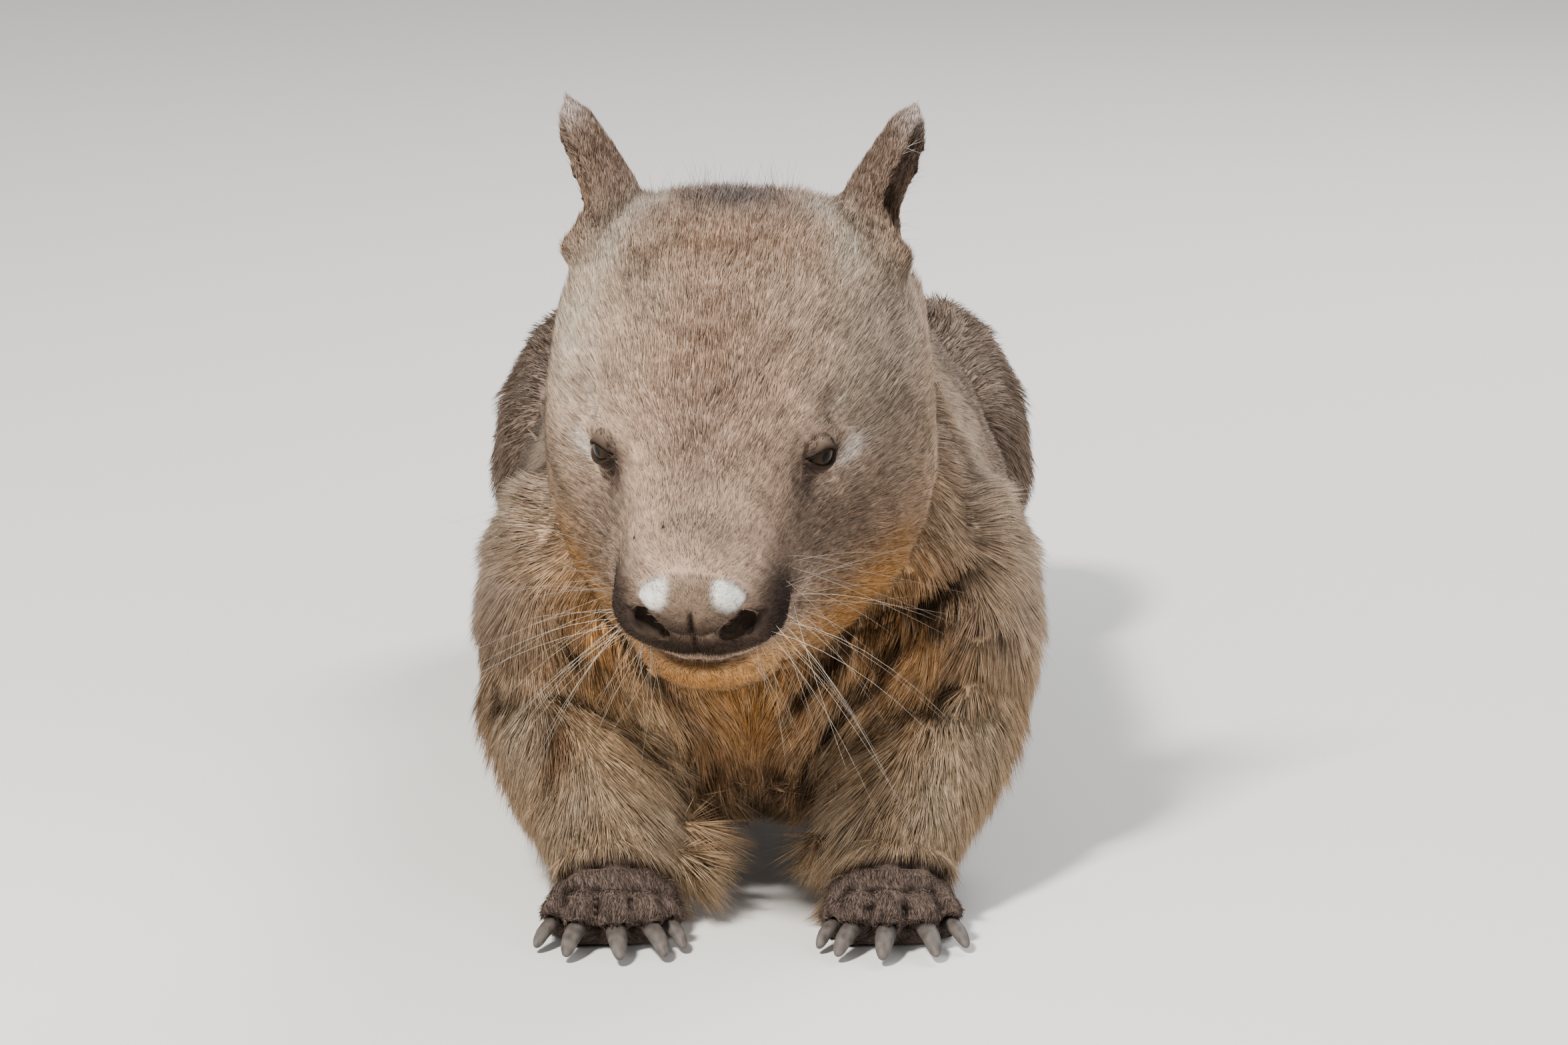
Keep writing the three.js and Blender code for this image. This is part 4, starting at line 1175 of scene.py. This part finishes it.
    def build(self, finishes: Finishes, markings: Markings) -> Surface:
        """Makes the skin and returns it as arrays.

        Args:
            finishes: the shared materials.
            markings: the coat's colours.

        Returns:
            The skin's surface, with its parts, lie and colours.
        """
        obj, tree, labels = self._gather()
        self._remesh(obj)
        change(obj.data, self._refine)
        mesh = obj.data
        points, edges = read(mesh.vertices, "co", 3), read(mesh.edges, "vertices", 2, np.int32)
        weights = self._weigh(points, edges, tree, labels)
        points = self._smoothed(mesh, points, edges, weights)
        points = self._dug(mesh, points, weights)
        write_points(mesh, points)
        shade_smooth(mesh)
        normals = read_normals(mesh)
        # Painted shade: colours are darkened in the hollows of the skin, most of all between the toes of
        # the paws, and the tufts take this shade from the skin.
        hollow = ((relaxed(points, edges, self.relief_rounds) - points) * normals).sum(1)
        paw = share_of(weights, *PAW_PARTS)
        shade = 1 - (0.55 + 0.35 * paw) * smoothstep(0.0001, 0.0011, hollow)
        colours = markings.colour(points, weights) * shade[:, None]
        lie = self._lie(points, normals, weights, edges)
        paint(obj, colours * UNDER_COAT)
        unwrap(obj)
        finish = finishes.coat("skin", roughness=0.75, specular=0.06, bump=0.0006)
        settle(obj, finish, "fur", *self.parts)
        mesh.calc_loop_triangles()
        triangles, corners = (read(mesh.loop_triangles, name, 3, np.int32)
                              for name in ("vertices", "loops"))
        flat = read(mesh.uv_layers["OFBake"].data, "uv", 2, np.float32)
        return Surface(points, normals, triangles, weights, lie, colours, flat[corners])

    def _smoothed(self, mesh: bpy.types.Mesh, points: np.ndarray, edges: np.ndarray,
                  weights: np.ndarray) -> np.ndarray:
        """Smooths the fused surface: least on the paws, whose toes are brought out again."""
        paw = share_of(weights, *PAW_PARTS)[:, None]
        ear = smoothstep(0.5, 1.0, share_of(weights, Part.EAR))[:, None]
        crisp = faired(points, edges, self.paw_smoothing)
        toes = crisp + (crisp - relaxed(crisp, edges, self.relief_rounds)) * self.paw_relief
        points = self._without_locks(mesh, points, edges, weights)
        ears = faired(points, edges, self.ear_smoothing)
        points = faired(points, edges, self.smoothing) * (1 - paw - ear) + toes * paw + ears * ear
        points = self._calmed(points, edges)
        write_points(mesh, points)
        return self._filled(points, edges, read_normals(mesh), weights)

    def _dug(self, mesh: bpy.types.Mesh, points: np.ndarray, weights: np.ndarray) -> np.ndarray:
        """Sinks the surface by the coat's depth and presses the small forms into it."""
        write_points(mesh, points)
        depth = weights @ coat_column("depth") * MM
        points = points - read_normals(mesh) * depth[:, None]
        points[:, 2] = np.maximum(points[:, 2], LOWEST)
        head = Muzzle().shape(HEAD.to_head(points))
        for side in SIDES.values():
            head = EyeSocket(side).shape(head)
        near = share_of(weights, *HEAD_PARTS) > 0.6
        creased = self._crease(points, read_normals(mesh))
        return np.where(near[:, None], HEAD.to_row(head), creased)


# The coat.


@dataclass
class Roots:
    """Where tufts grow: places on the skin and what they take from it there."""

    points: np.ndarray
    normals: np.ndarray
    lie: np.ndarray
    weights: np.ndarray
    colours: np.ndarray
    uv: np.ndarray

    def only(self, chosen: np.ndarray) -> "Roots":
        """The roots that a mask or a list of numbers picks."""
        return Roots(*(getattr(self, name)[chosen] for name in self.__dataclass_fields__))


# A tuft's faces, and where its corners lie on the map round its root's place.
TUFT_FACES = ((1, 0, 3), (2, 1, 3), (0, 2, 3), (0, 1, 2))
TUFT_PATCH = 0.003
TUFT_SPOTS = np.array(((-0.5, -0.5), (0.5, -0.5), (0.0, -0.5), (0.0, 0.5)))


@dataclass
class Tufts:
    """A set of tufts to be made into one piece.

    Attributes:
        roots: where they grow.
        ways: the way each one runs along the skin.
        length: their lengths, in metres.
        width: their widths, in metres.
        lift: the angle at which each one leaves the skin.
        clump: how far each tip is drawn into a lock.
        rng: the source of what is left to chance.
        dark_root: the brightness of a root beside its tuft's own colour.
        grizzle: how much the brightness differs from tuft to tuft.
        pale_below: up to which of its chances a tip is pale, where the coat isn't dark.
        dark_above: from which of them on it is dark.
        bend: how much of its lift a tuft keeps in its outer half.
        sunk: how deep its root stands in the skin, beside its width.
        leader_step: one tuft in so many leads a lock.
        fleck: about how far apart flecks of dark and light hair lie, in metres.
    """

    roots: Roots
    ways: np.ndarray
    length: np.ndarray
    width: np.ndarray
    lift: np.ndarray
    clump: np.ndarray
    rng: np.random.Generator
    dark_root: float = 0.38
    grizzle: float = 0.42
    pale_below: float = 0.33
    dark_above: float = 0.66
    bend: float = 0.25
    sunk: float = 0.6
    leader_step: int = 14
    fleck: float = 0.0042

    def _tips(self) -> np.ndarray:
        """The tip of each tuft, bent back towards the skin and drawn into locks."""
        roots, normals = self.roots.points, self.roots.normals
        tips = roots
        for rise in (self.lift, self.lift * self.bend):
            way = self.ways * np.cos(rise)[:, None] + normals * np.sin(rise)[:, None]
            tips = tips + way * (self.length * 0.5)[:, None]
        if self.clump.max() > 0 and len(tips) > 60:
            leaders = np.arange(0, len(tips), self.leader_step)
            tree = KDTree(len(leaders))
            for i, leader in enumerate(leaders):
                tree.insert(Vector(roots[leader]), i)
            tree.balance()
            nearest = np.array([leaders[tree.find(Vector(p))[1]] for p in roots])
            pull = (self.clump * self.rng.uniform(0.6, 1.0, len(tips)))[:, None]
            tips = tips + (tips[nearest] - tips) * pull
        tips[:, 2] = np.maximum(tips[:, 2], LOWEST)
        return tips

    def _tints(self) -> tuple[np.ndarray, np.ndarray]:
        """The colours of every root and every tip, some tips pale and some dark."""
        count = len(self.roots.points)
        own = self.roots.colours * (1 + self.grizzle * self.rng.normal(0, 0.55, (count, 1)))
        flecks = 0.5 + 0.5 * np.clip(ripple(self.roots.points, self.fleck, 21), -1, 1)
        kind = 0.5 * self.rng.random((count, 1)) + 0.5 * flecks[:, None]
        lightness = own.max(1, keepdims=True)
        bright = own * 0.75 + np.array(CREAM) * 0.42
        tip = np.where((kind < self.pale_below) & (lightness > 0.16), bright, own * 1.05)
        tip = np.where(kind > self.dark_above, own * 0.34, tip)
        return np.clip(own * self.dark_root, 0.003, 0.95), np.clip(tip, 0.003, 0.95)

    def build(self, name: str) -> bpy.types.Object:
        """Makes the tufts one mesh, each a closed, tapered spike.

        Args:
            name: the piece's name.

        Returns:
            The linked object with its tint and its OFBake map.
        """
        normals, count = self.roots.normals, len(self.roots.points)
        tips = self._tips()
        along = unit(tips - self.roots.points)
        across = unit(np.cross(along, normals))
        above = np.cross(across, along)
        start = self.roots.points - normals * (self.width * self.sunk)[:, None]
        start[:, 2] = np.maximum(start[:, 2], LOWEST_ROOT)
        wide = self.width[:, None]
        corners = (start - across * wide * 0.5, start + across * wide * 0.5,
                   start + above * wide * 0.42, tips)
        points = np.stack(corners, 1).reshape(-1, 3)
        root, tip = self._tints()
        colours = np.stack((root, root, root, tip), 1).reshape(-1, 3)
        uv = (self.roots.uv[:, None] + TUFT_SPOTS[None] * TUFT_PATCH).reshape(-1, 2)
        obj = show(repeated_mesh(name, points, TUFT_FACES, len(corners), count, uv), name)
        paint(obj, colours)
        return obj


class Region(Enum):
    """The pieces that the coat is made in."""

    FACE = "coat_face"
    CROWN = "coat_crown"
    EARS = "coat_ears"
    NECK = "coat_neck"
    BREAST = "coat_breast"
    FORELEG_LEFT = "coat_foreleg_left"
    FORELEG_RIGHT = "coat_foreleg_right"
    BACK = "coat_back"
    FLANK_LEFT = "coat_flank_left"
    FLANK_RIGHT = "coat_flank_right"
    RUMP = "coat_rump"
    PAWS = "coat_paws"


# The borders of the regions: along the head, along the body, and up it.
FACE_END = -0.085
BREAST_END = -0.2
FLANK_TOP = 0.16


@dataclass
class Coat:
    """The fur: short tufts in pieces small enough to handle.

    Attributes:
        seed: starts what is left to chance.
        share: how much of the full density grows.
        most_faces: the most faces that one piece may have.
        bare: from where to where the coat comes in round an eye's front, in millimetres.
        short_muzzle: how much shorter the tufts of the muzzle are.
        short_lids: how much shorter they are round the eyes.
        long_nape: how much longer they are behind the ears.
        long_inner: how much longer they are on the inner side of the forelegs.
    """

    seed: int = 1729
    share: float = 1.0
    most_faces: int = 190_000
    bare: tuple[float, float] = (6.2, 9.6)
    short_muzzle: float = 0.55
    short_lids: float = 0.5
    long_nape: float = 0.35
    long_inner: float = 0.45

    def _scatter(self, skin: Surface, rng: np.random.Generator) -> Roots:
        """Spreads roots over the skin as densely as each part asks."""
        a, b, c = (skin.points[skin.triangles[:, k]] for k in range(3))
        area = 0.5 * np.linalg.norm(np.cross(b - a, c - a), axis=1)
        weights = skin.weights[skin.triangles].mean(1)
        density = weights @ coat_column("density") * 1e4 * self.share
        middle = HEAD.to_head((a + b + c) / 3)
        for side in SIDES.values():
            away = np.linalg.norm(middle - EyeSocket(side).front(), axis=1) / MM
            density *= smoothstep(*self.bare, away)
        density *= 1 - np.clip(NOSTRIL.cover(middle) * 1.6, 0, 1)
        density[(a + b + c)[:, 2] / 3 < SOLE] = 0
        reach = np.cumsum(area * density)
        count = int(reach[-1])
        steps = (np.arange(count) + rng.random(count)) * reach[-1] / count
        face = np.searchsorted(reach, steps).clip(0, len(area) - 1)
        r, s = np.sqrt(rng.random(count)), rng.random(count)
        share = np.stack((1 - r, r * (1 - s), r * s), 1)[:, :, None]

        def at_roots(values: np.ndarray) -> np.ndarray:
            """A value of the skin at every root."""
            return (values[skin.triangles[face]] * share).sum(1)

        normals, lie = unit(at_roots(skin.normals)), at_roots(skin.lie)
        lie = unit(lie - normals * (lie * normals).sum(1, keepdims=True))
        uv = (skin.corner_uv[face] * share).sum(1)
        return Roots(at_roots(skin.points), normals, lie, at_roots(skin.weights),
                     at_roots(skin.colours), uv)

    @staticmethod
    def _region(roots: Roots) -> np.ndarray:
        """The number of the region that each root belongs to."""
        main = roots.weights.argmax(1)
        own = roots.points - HEAD.shift()
        head = HEAD.to_head(roots.points)
        order = list(Region)
        regions = np.full(len(main), order.index(Region.BACK))

        def mainly(*parts: Part) -> np.ndarray:
            """Which roots belong to one of the parts most of all."""
            return np.isin(main, [part.value for part in parts])

        def mark(mask: np.ndarray, region: Region) -> None:
            """Gives the masked roots to a region."""
            regions[mask] = order.index(region)

        mark(mainly(*HEAD_PARTS) & (head[:, 1] < FACE_END), Region.FACE)
        mark(mainly(*HEAD_PARTS) & (head[:, 1] >= FACE_END), Region.CROWN)
        mark(mainly(Part.EAR), Region.EARS)
        mark(mainly(Part.NECK), Region.NECK)
        trunk = mainly(Part.CHEST, Part.TORSO)
        mark(trunk & (own[:, 1] < BREAST_END), Region.BREAST)
        flank = trunk & (own[:, 1] >= BREAST_END) & (own[:, 2] < FLANK_TOP)
        mark(flank & (own[:, 0] > 0), Region.FLANK_LEFT)
        mark(flank & (own[:, 0] <= 0), Region.FLANK_RIGHT)
        leg = mainly(Part.FORELEG)
        mark(leg & (own[:, 0] > 0), Region.FORELEG_LEFT)
        mark(leg & (own[:, 0] <= 0), Region.FORELEG_RIGHT)
        mark(mainly(Part.RUMP, Part.TAIL, Part.HINDLEG), Region.RUMP)
        mark(mainly(*PAW_PARTS), Region.PAWS)
        return regions

    def _sized(self, roots: Roots, rng: np.random.Generator) -> Tufts:
        """Gives tufts their lengths, widths and the way each one leans.

        They are shorter on the muzzle and round the eyes, and longer on the nape and on the
        inner side of the forelegs.
        """
        sizes = {name: roots.weights @ coat_column(name)
                 for name in ("length", "width", "lift", "stray", "clump")}
        own, head = roots.points - HEAD.shift(), HEAD.to_head(roots.points)
        count = len(own)
        length = sizes["length"] * MM * rng.uniform(0.72, 1.12, count)
        on_head = share_of(roots.weights, Part.HEAD, Part.LOWER_JAW)
        muzzle = smoothstep(-0.115, -0.175, head[:, 1]) * on_head
        length *= 1 - self.short_muzzle * muzzle
        for side in SIDES.values():
            away = np.linalg.norm(head - EyeSocket(side).centre(), axis=1)
            length *= 1 - self.short_lids * smoothstep(0.030, 0.014, away)
        length *= 1 + self.long_nape * smoothstep(-0.05, 0.0, head[:, 1]) * on_head
        inner = share_of(roots.weights, Part.FORELEG) * smoothstep(0.075, 0.05, np.abs(own[:, 0]))
        length *= 1 + self.long_inner * inner
        width = sizes["width"] * MM * rng.uniform(0.75, 1.2, count) * (1 - 0.35 * muzzle)
        stray = np.radians(sizes["stray"])
        swirl = np.stack((ripple(own, 0.020, 11), ripple(own, 0.020, 12)), 1) * 0.9
        swirl = swirl + rng.normal(0, 0.6, (count, 2))
        across = np.cross(roots.normals, roots.lie)
        turn = (swirl[:, 0] * stray)[:, None]
        ways = unit(roots.lie * np.cos(turn) + across * np.sin(turn))
        lift = np.radians(sizes["lift"]) * (1 + 0.28 * swirl[:, 1])
        lift = np.clip(lift, math.radians(5), math.radians(55))
        return Tufts(roots, ways, length, width, lift, sizes["clump"], rng)

    def build(self, skin: Surface, finishes: Finishes) -> None:
        """Grows the whole coat.

        Args:
            skin: the surface that it grows from.
            finishes: the shared materials.
        """
        rng = np.random.default_rng(self.seed)
        roots = self._scatter(skin, rng)
        regions = self._region(roots)
        material = finishes.coat("fur", roughness=0.85, specular=0.05, bump=0.0)
        for number, region in enumerate(Region):
            mine = roots.only(regions == number)
            if len(mine.points) < 3:
                continue
            parts = math.ceil(len(mine.points) * len(TUFT_FACES) / self.most_faces)
            for part in range(parts):
                tufts = self._sized(mine.only(slice(part, None, parts)), rng)
                name = f"{region.value}_short" + (f"_{part + 1}" if parts > 1 else "")
                settle(tufts.build(name), material, "fur")


# Eyes, claws, whiskers.


@dataclass(frozen=True)
class EyeFinish:
    """A wet dark eye: black pupil, dark brown iris, nearly black rim.

    Attributes:
        pupil: how far from its front the pupil reaches, in metres.
        iris: how far the iris reaches.
        iris_colour: its colour.
        rim_colour: the colour round it.
    """

    pupil: float = 0.0021
    iris: float = 0.0062
    iris_colour: Colour = (0.026, 0.016, 0.008)
    rim_colour: Colour = (0.006, 0.004, 0.003)

    def make(self, name: str, front: np.ndarray) -> bpy.types.Material:
        """The eye's material.

        Args:
            name: its name.
            front: the foremost point of the ball, in the row frame.

        Returns:
            The material.
        """
        material, tree = new_material(name)
        add, link = tree.nodes.new, tree.links.new
        shader, ramp = tree.nodes["Principled BSDF"], add("ShaderNodeValToRGB")
        place, away = add("ShaderNodeTexCoord"), add("ShaderNodeVectorMath")
        away.operation = "DISTANCE"
        away.inputs[1].default_value = front
        span = add("ShaderNodeMath")
        span.operation = "DIVIDE"
        span.inputs[1].default_value = self.iris * 1.2
        link(place.outputs["Object"], away.inputs[0])
        link(away.outputs["Value"], span.inputs[0])
        link(span.outputs[0], ramp.inputs["Fac"])
        stops = ramp.color_ramp.elements
        stops[0].position, stops[0].color = self.pupil / self.iris / 1.2, (0.002, 0.002, 0.002, 1)
        stops[1].position, stops[1].color = 0.36, (*self.iris_colour, 1)
        outer = stops.new(0.8)
        outer.color = (*(0.6 * c for c in self.iris_colour), 1)
        stops.new(0.9).color = (*self.rim_colour, 1)
        link(ramp.outputs["Color"], shader.inputs["Base Color"])
        put(shader, {"Roughness": 0.12, "Specular IOR Level": 0.07,
                     "Coat Weight": 0.03, "Coat Roughness": 0.03})
        return material


@dataclass
class Eyes:
    """The two eyes, each a smooth ball with a bulging front."""

    segments: int = 48

    def build(self) -> None:
        """Makes both eyes where the frame has them."""
        for name, side in SIDES.items():
            socket = EyeSocket(side)
            centre = HEAD.to_row(socket.centre()[None])[0]
            gaze = HEAD.way_to_row(socket.axes()[2][None])[0]
            ball = bmesh.new()
            bmesh.ops.create_uvsphere(ball, u_segments=self.segments, v_segments=self.segments // 2,
                                      radius=socket.ball * MM)
            turn = Vector((0, 0, 1)).rotation_difference(Vector(gaze)).to_matrix().to_4x4()
            bmesh.ops.transform(ball, matrix=Matrix.Translation(Vector(centre)) @ turn, verts=ball.verts)
            mesh = poured(ball, "eye_ball_" + name)
            shade_smooth(mesh)
            front = centre + gaze * socket.ball * MM
            settle(show(mesh, "eye_ball_" + name), EyeFinish().make("eye_" + name, front), "eye",
                   "eye_" + name)


@dataclass
class Claws:
    """The claws: the frame's own, rounded, and worn towards their tips.

    Attributes:
        rounding: how many times their faces are cut finer.
        colour: the horn at the root.
        worn: the horn at the tip.
    """

    rounding: int = 2
    colour: Colour = (0.045, 0.037, 0.033)
    worn: Colour = (0.095, 0.083, 0.075)

    def build(self, finishes: Finishes) -> None:
        """Makes every claw that the frame has."""
        horn = finishes.coat("claw_horn", roughness=0.55, specular=0.2, bump=0.0004)
        for node in sorted(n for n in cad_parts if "claw_" in n):
            obj = show(poured(copied(node), node + "_horn"), node + "_horn")
            soften = obj.modifiers.new("rounding", "SUBSURF")
            soften.levels = soften.render_levels = self.rounding
            smooth = apply_modifiers(obj)
            points = read(smooth.vertices, "co", 3)
            reach = points[:, 1]
            worn = smoothstep(0.0, 1.0, (reach.max() - reach) / np.ptp(reach))
            shade = mixed(np.array(self.colour), self.worn, worn)
            shade = shade * (1 + 0.18 * ripple(points, 0.004, 31))[:, None]
            paint(obj, shade)
            shade_smooth(smooth)
            settle(obj, horn, "claw", node)


@dataclass(frozen=True)
class WhiskerRow:
    """A group of whiskers on one side of the face, in the head's frame and in millimetres.

    Attributes:
        at: the middle of their roots.
        spread: how far the roots lie from it each way.
        way: the way that they point.
        count: how many there are.
        length: about how long they are.
        droop: how far they hang, beside their length.
        thick: how thick they are at the root.
        colour: their colour.
    """

    at: tuple[float, float, float]
    spread: tuple[float, float, float]
    way: tuple[float, float, float]
    count: int
    length: float
    droop: float
    thick: float
    colour: Colour


WHISKER_ROWS = (
    WhiskerRow((37, -184, 4), (6, 14, 11), (0.85, -0.28, -0.35), 18, 74, 0.8, 0.17, (0.62, 0.55, 0.46)),
    WhiskerRow((30, -186, -10), (9, 12, 8), (0.45, -0.35, -0.85), 24, 44, 0.5, 0.15, (0.60, 0.50, 0.38)),
    WhiskerRow((39, -176, 20), (4, 16, 9), (1.0, 0.05, 0.05), 12, 84, 0.3, 0.16, (0.34, 0.28, 0.24)),
    WhiskerRow((38, -182, 30), (4, 14, 7), (0.95, 0.25, 0.30), 10, 50, 0.15, 0.15, (0.05, 0.04, 0.035)),
    WhiskerRow((16, -190, -24), (18, 8, 5), (0.15, -0.55, -0.80), 20, 15, 0.3, 0.13, (0.10, 0.06, 0.035)),
    WhiskerRow((16, -202, -4), (20, 6, 7), (0.2, -0.9, -0.35), 30, 6, 0.2, 0.14, (0.34, 0.24, 0.15)),
    WhiskerRow((52, -112, 56), (4, 4, 3), (0.75, -0.35, 0.60), 5, 34, 0.2, 0.13, (0.08, 0.06, 0.05)),
    WhiskerRow((62, -96, -4), (4, 6, 5), (0.90, -0.15, -0.25), 4, 52, 0.3, 0.14, (0.20, 0.16, 0.13)),
    WhiskerRow((26, -4, 90), (26, 10, 3), (0.05, 0.25, 1.0), 70, 15, 0.0, 0.14, (0.30, 0.26, 0.25)),
    WhiskerRow((12, -2, 92), (12, 8, 3), (0.0, 0.3, 1.0), 36, 18, 0.0, 0.15, (0.03, 0.026, 0.03)),
    WhiskerRow((80, 4, 62), (4, 12, 14), (0.9, 0.1, 0.35), 34, 13, 0.0, 0.12, (0.66, 0.58, 0.48)),
    WhiskerRow((78, 16, 90), (5, 8, 16), (0.85, 0.1, 0.5), 30, 9, 0.0, 0.11, (0.72, 0.66, 0.60)),
)


@dataclass
class Whiskers:
    """Long stiff hairs of the muzzle, chin, brow and cheek: thin tapered tubes.

    Attributes:
        seed: starts what is left to chance.
        joints: how many rings of three points a hair has.
    """

    seed: int = 77
    joints: int = 7

    def build(self, skin: Surface, finishes: Finishes) -> None:
        """Roots every whisker on the skin and makes them one piece.

        Args:
            skin: the surface that they grow from.
            finishes: the shared materials.
        """
        rng = np.random.default_rng(self.seed)
        tree = BVHTree.FromPolygons([Vector(p) for p in skin.points], skin.triangles.tolist())
        columns, tints = [], []
        for row in WHISKER_ROWS:
            for side in SIDES.values():
                for _ in range(row.count):
                    hair, tint = self._whisker(row, side, tree, rng)
                    columns.append(hair)
                    tints.append(tint)
        each = self.joints * 3 + 1
        spots = np.tile(np.linspace(0.01, 0.99, each)[:, None], (1, 2))
        uv = np.tile(spots, (len(columns), 1))
        mesh = repeated_mesh("whiskers", np.concatenate(columns), self._faces(), each,
                             len(columns), uv)
        obj = show(mesh, "whiskers")
        paint(obj, np.concatenate(tints))
        settle(obj, finishes.coat("whisker", roughness=0.5, specular=0.2, bump=0.0), "fur")

    def _faces(self) -> tuple[tuple[int, ...], ...]:
        """The faces of one hair, ring after ring from its root to its tip."""
        faces = [(0, 1, 2)]
        for ring in range(self.joints - 1):
            a, b = ring * 3, ring * 3 + 3
            faces += [(a + 1, a, b, b + 1), (a + 2, a + 1, b + 1, b + 2), (a, a + 2, b + 2, b)]
        last, tip = (self.joints - 1) * 3, self.joints * 3
        faces += [(last + 1, last, tip), (last + 2, last + 1, tip), (last, last + 2, tip)]
        return tuple(faces)

    def _whisker(self, row: WhiskerRow, side: float, tree: BVHTree,
                 rng: np.random.Generator) -> tuple[np.ndarray, np.ndarray]:
        """One whisker's vertices and their tints."""
        mirror = np.array((side, 1.0, 1.0))
        root = (np.array(row.at) + np.array(row.spread) * rng.uniform(-1, 1, 3)) * mirror * MM
        spot = tree.find_nearest(Vector(HEAD.to_row(root[None])[0]))[0]
        way = unit(np.array(row.way) * mirror + rng.normal(0, 0.32, 3))
        way = HEAD.way_to_row(way[None])[0]
        length = row.length * MM * rng.uniform(0.45, 1.2)
        side_way = unit(np.cross(way, (0.0, 0.0, 1.0)))
        bow = row.droop * rng.uniform(0.6, 1.3)
        t = np.linspace(0, 1, self.joints + 1)[:, None]
        line = np.array(spot) + way * length * t - np.array((0, 0, 1)) * length * bow * 0.5 * t**2
        line += side_way * length * rng.normal(0, 0.16) * t**2
        up = np.cross(side_way, way)
        rings = []
        for i in range(self.joints):
            radius = row.thick * MM * 0.5 * (1 - 0.8 * i / self.joints)
            for k in range(3):
                angle = 2 * math.pi * k / 3
                rings.append(line[i] + radius * (side_way * math.cos(angle) + up * math.sin(angle)))
        shade = np.array(row.colour) * rng.uniform(0.7, 1.25)
        return np.array([*rings, line[-1]]), np.tile(shade, (self.joints * 3 + 1, 1))


# The studio.


@dataclass(frozen=True)
class Studio:
    """A pale floor, soft lights and the camera of the photograph.

    Attributes:
        elevation: how far the camera looks down.
        distance: how far it stands from its target, in metres.
        lens: its focal length, in millimetres.
        target: what it looks at, in the model's own frame, in metres.
    """

    elevation: float = math.radians(12.0)
    distance: float = 3.0
    lens: float = 160.0
    target: tuple[float, float, float] = (0.014, -0.330, 0.180)

    def _lamp(self, name: str, at: tuple[float, float, float], size: float, power: float,
              colour: Colour = (1.0, 1.0, 1.0)) -> None:
        """A soft square light that looks at the animal."""
        light = bpy.data.lights.new(name, "AREA")
        light.shape, light.size, light.energy, light.color = "SQUARE", size, power, colour
        lamp = bpy.data.objects.new(name, light)
        lamp.location = at
        lamp.rotation_euler = (Vector((0, -0.25, 0.15)) - Vector(at)).to_track_quat("-Z", "Y").to_euler()
        bpy.context.scene.collection.objects.link(lamp)

    def build(self, finishes: Finishes) -> None:
        """Makes the floor, the lights, the world and the camera.

        Args:
            finishes: the shared materials.
        """
        ground = bmesh.new()
        bmesh.ops.create_grid(ground, x_segments=1, y_segments=1, size=12.0)
        floor = show(poured(ground, "floor"), "floor")
        floor.data.materials.append(finishes.plain("floor", (0.78, 0.77, 0.75), 0.9))
        world = bpy.data.worlds.new("studio")
        world.use_nodes = True
        put(world.node_tree.nodes["Background"], {"Color": (0.97, 0.98, 1.0, 1.0), "Strength": 0.42})
        bpy.context.scene.world = world
        self._lamp("key", (-1.0, -1.8, 2.3), size=0.4, power=180, colour=(1.0, 0.95, 0.88))
        self._lamp("fill", (1.7, -2.0, 1.1), size=1.4, power=20, colour=(0.98, 0.98, 1.0))
        self._lamp("rim", (1.0, 1.6, 2.0), size=1.0, power=60)
        camera = bpy.data.objects.new("camera", bpy.data.cameras.new("camera"))
        camera.data.lens, camera.data.sensor_width = self.lens, 36.0
        camera.data.clip_end = 50.0
        aim = Vector(self.target) + Vector(HEAD.shift())
        back = Vector((0.0, -math.cos(self.elevation), math.sin(self.elevation)))
        camera.location = aim + back * self.distance
        camera.rotation_euler = (-back).to_track_quat("-Z", "Y").to_euler()
        bpy.context.scene.collection.objects.link(camera)
        bpy.context.scene.camera = camera


def main() -> None:
    """Builds the animal piece by piece, then the studio."""
    logging.basicConfig(level=logging.INFO, format="%(message)s")
    finishes, markings = Finishes(), Markings()
    skin = Hide().build(finishes, markings)
    log.info("skin: %d triangles", len(skin.triangles))
    Coat(share=1.0).build(skin, finishes)
    Eyes().build()
    Claws().build(finishes)
    Whiskers().build(skin, finishes)
    Studio().build(finishes)
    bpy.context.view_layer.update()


if __name__ == "__main__":
    main()
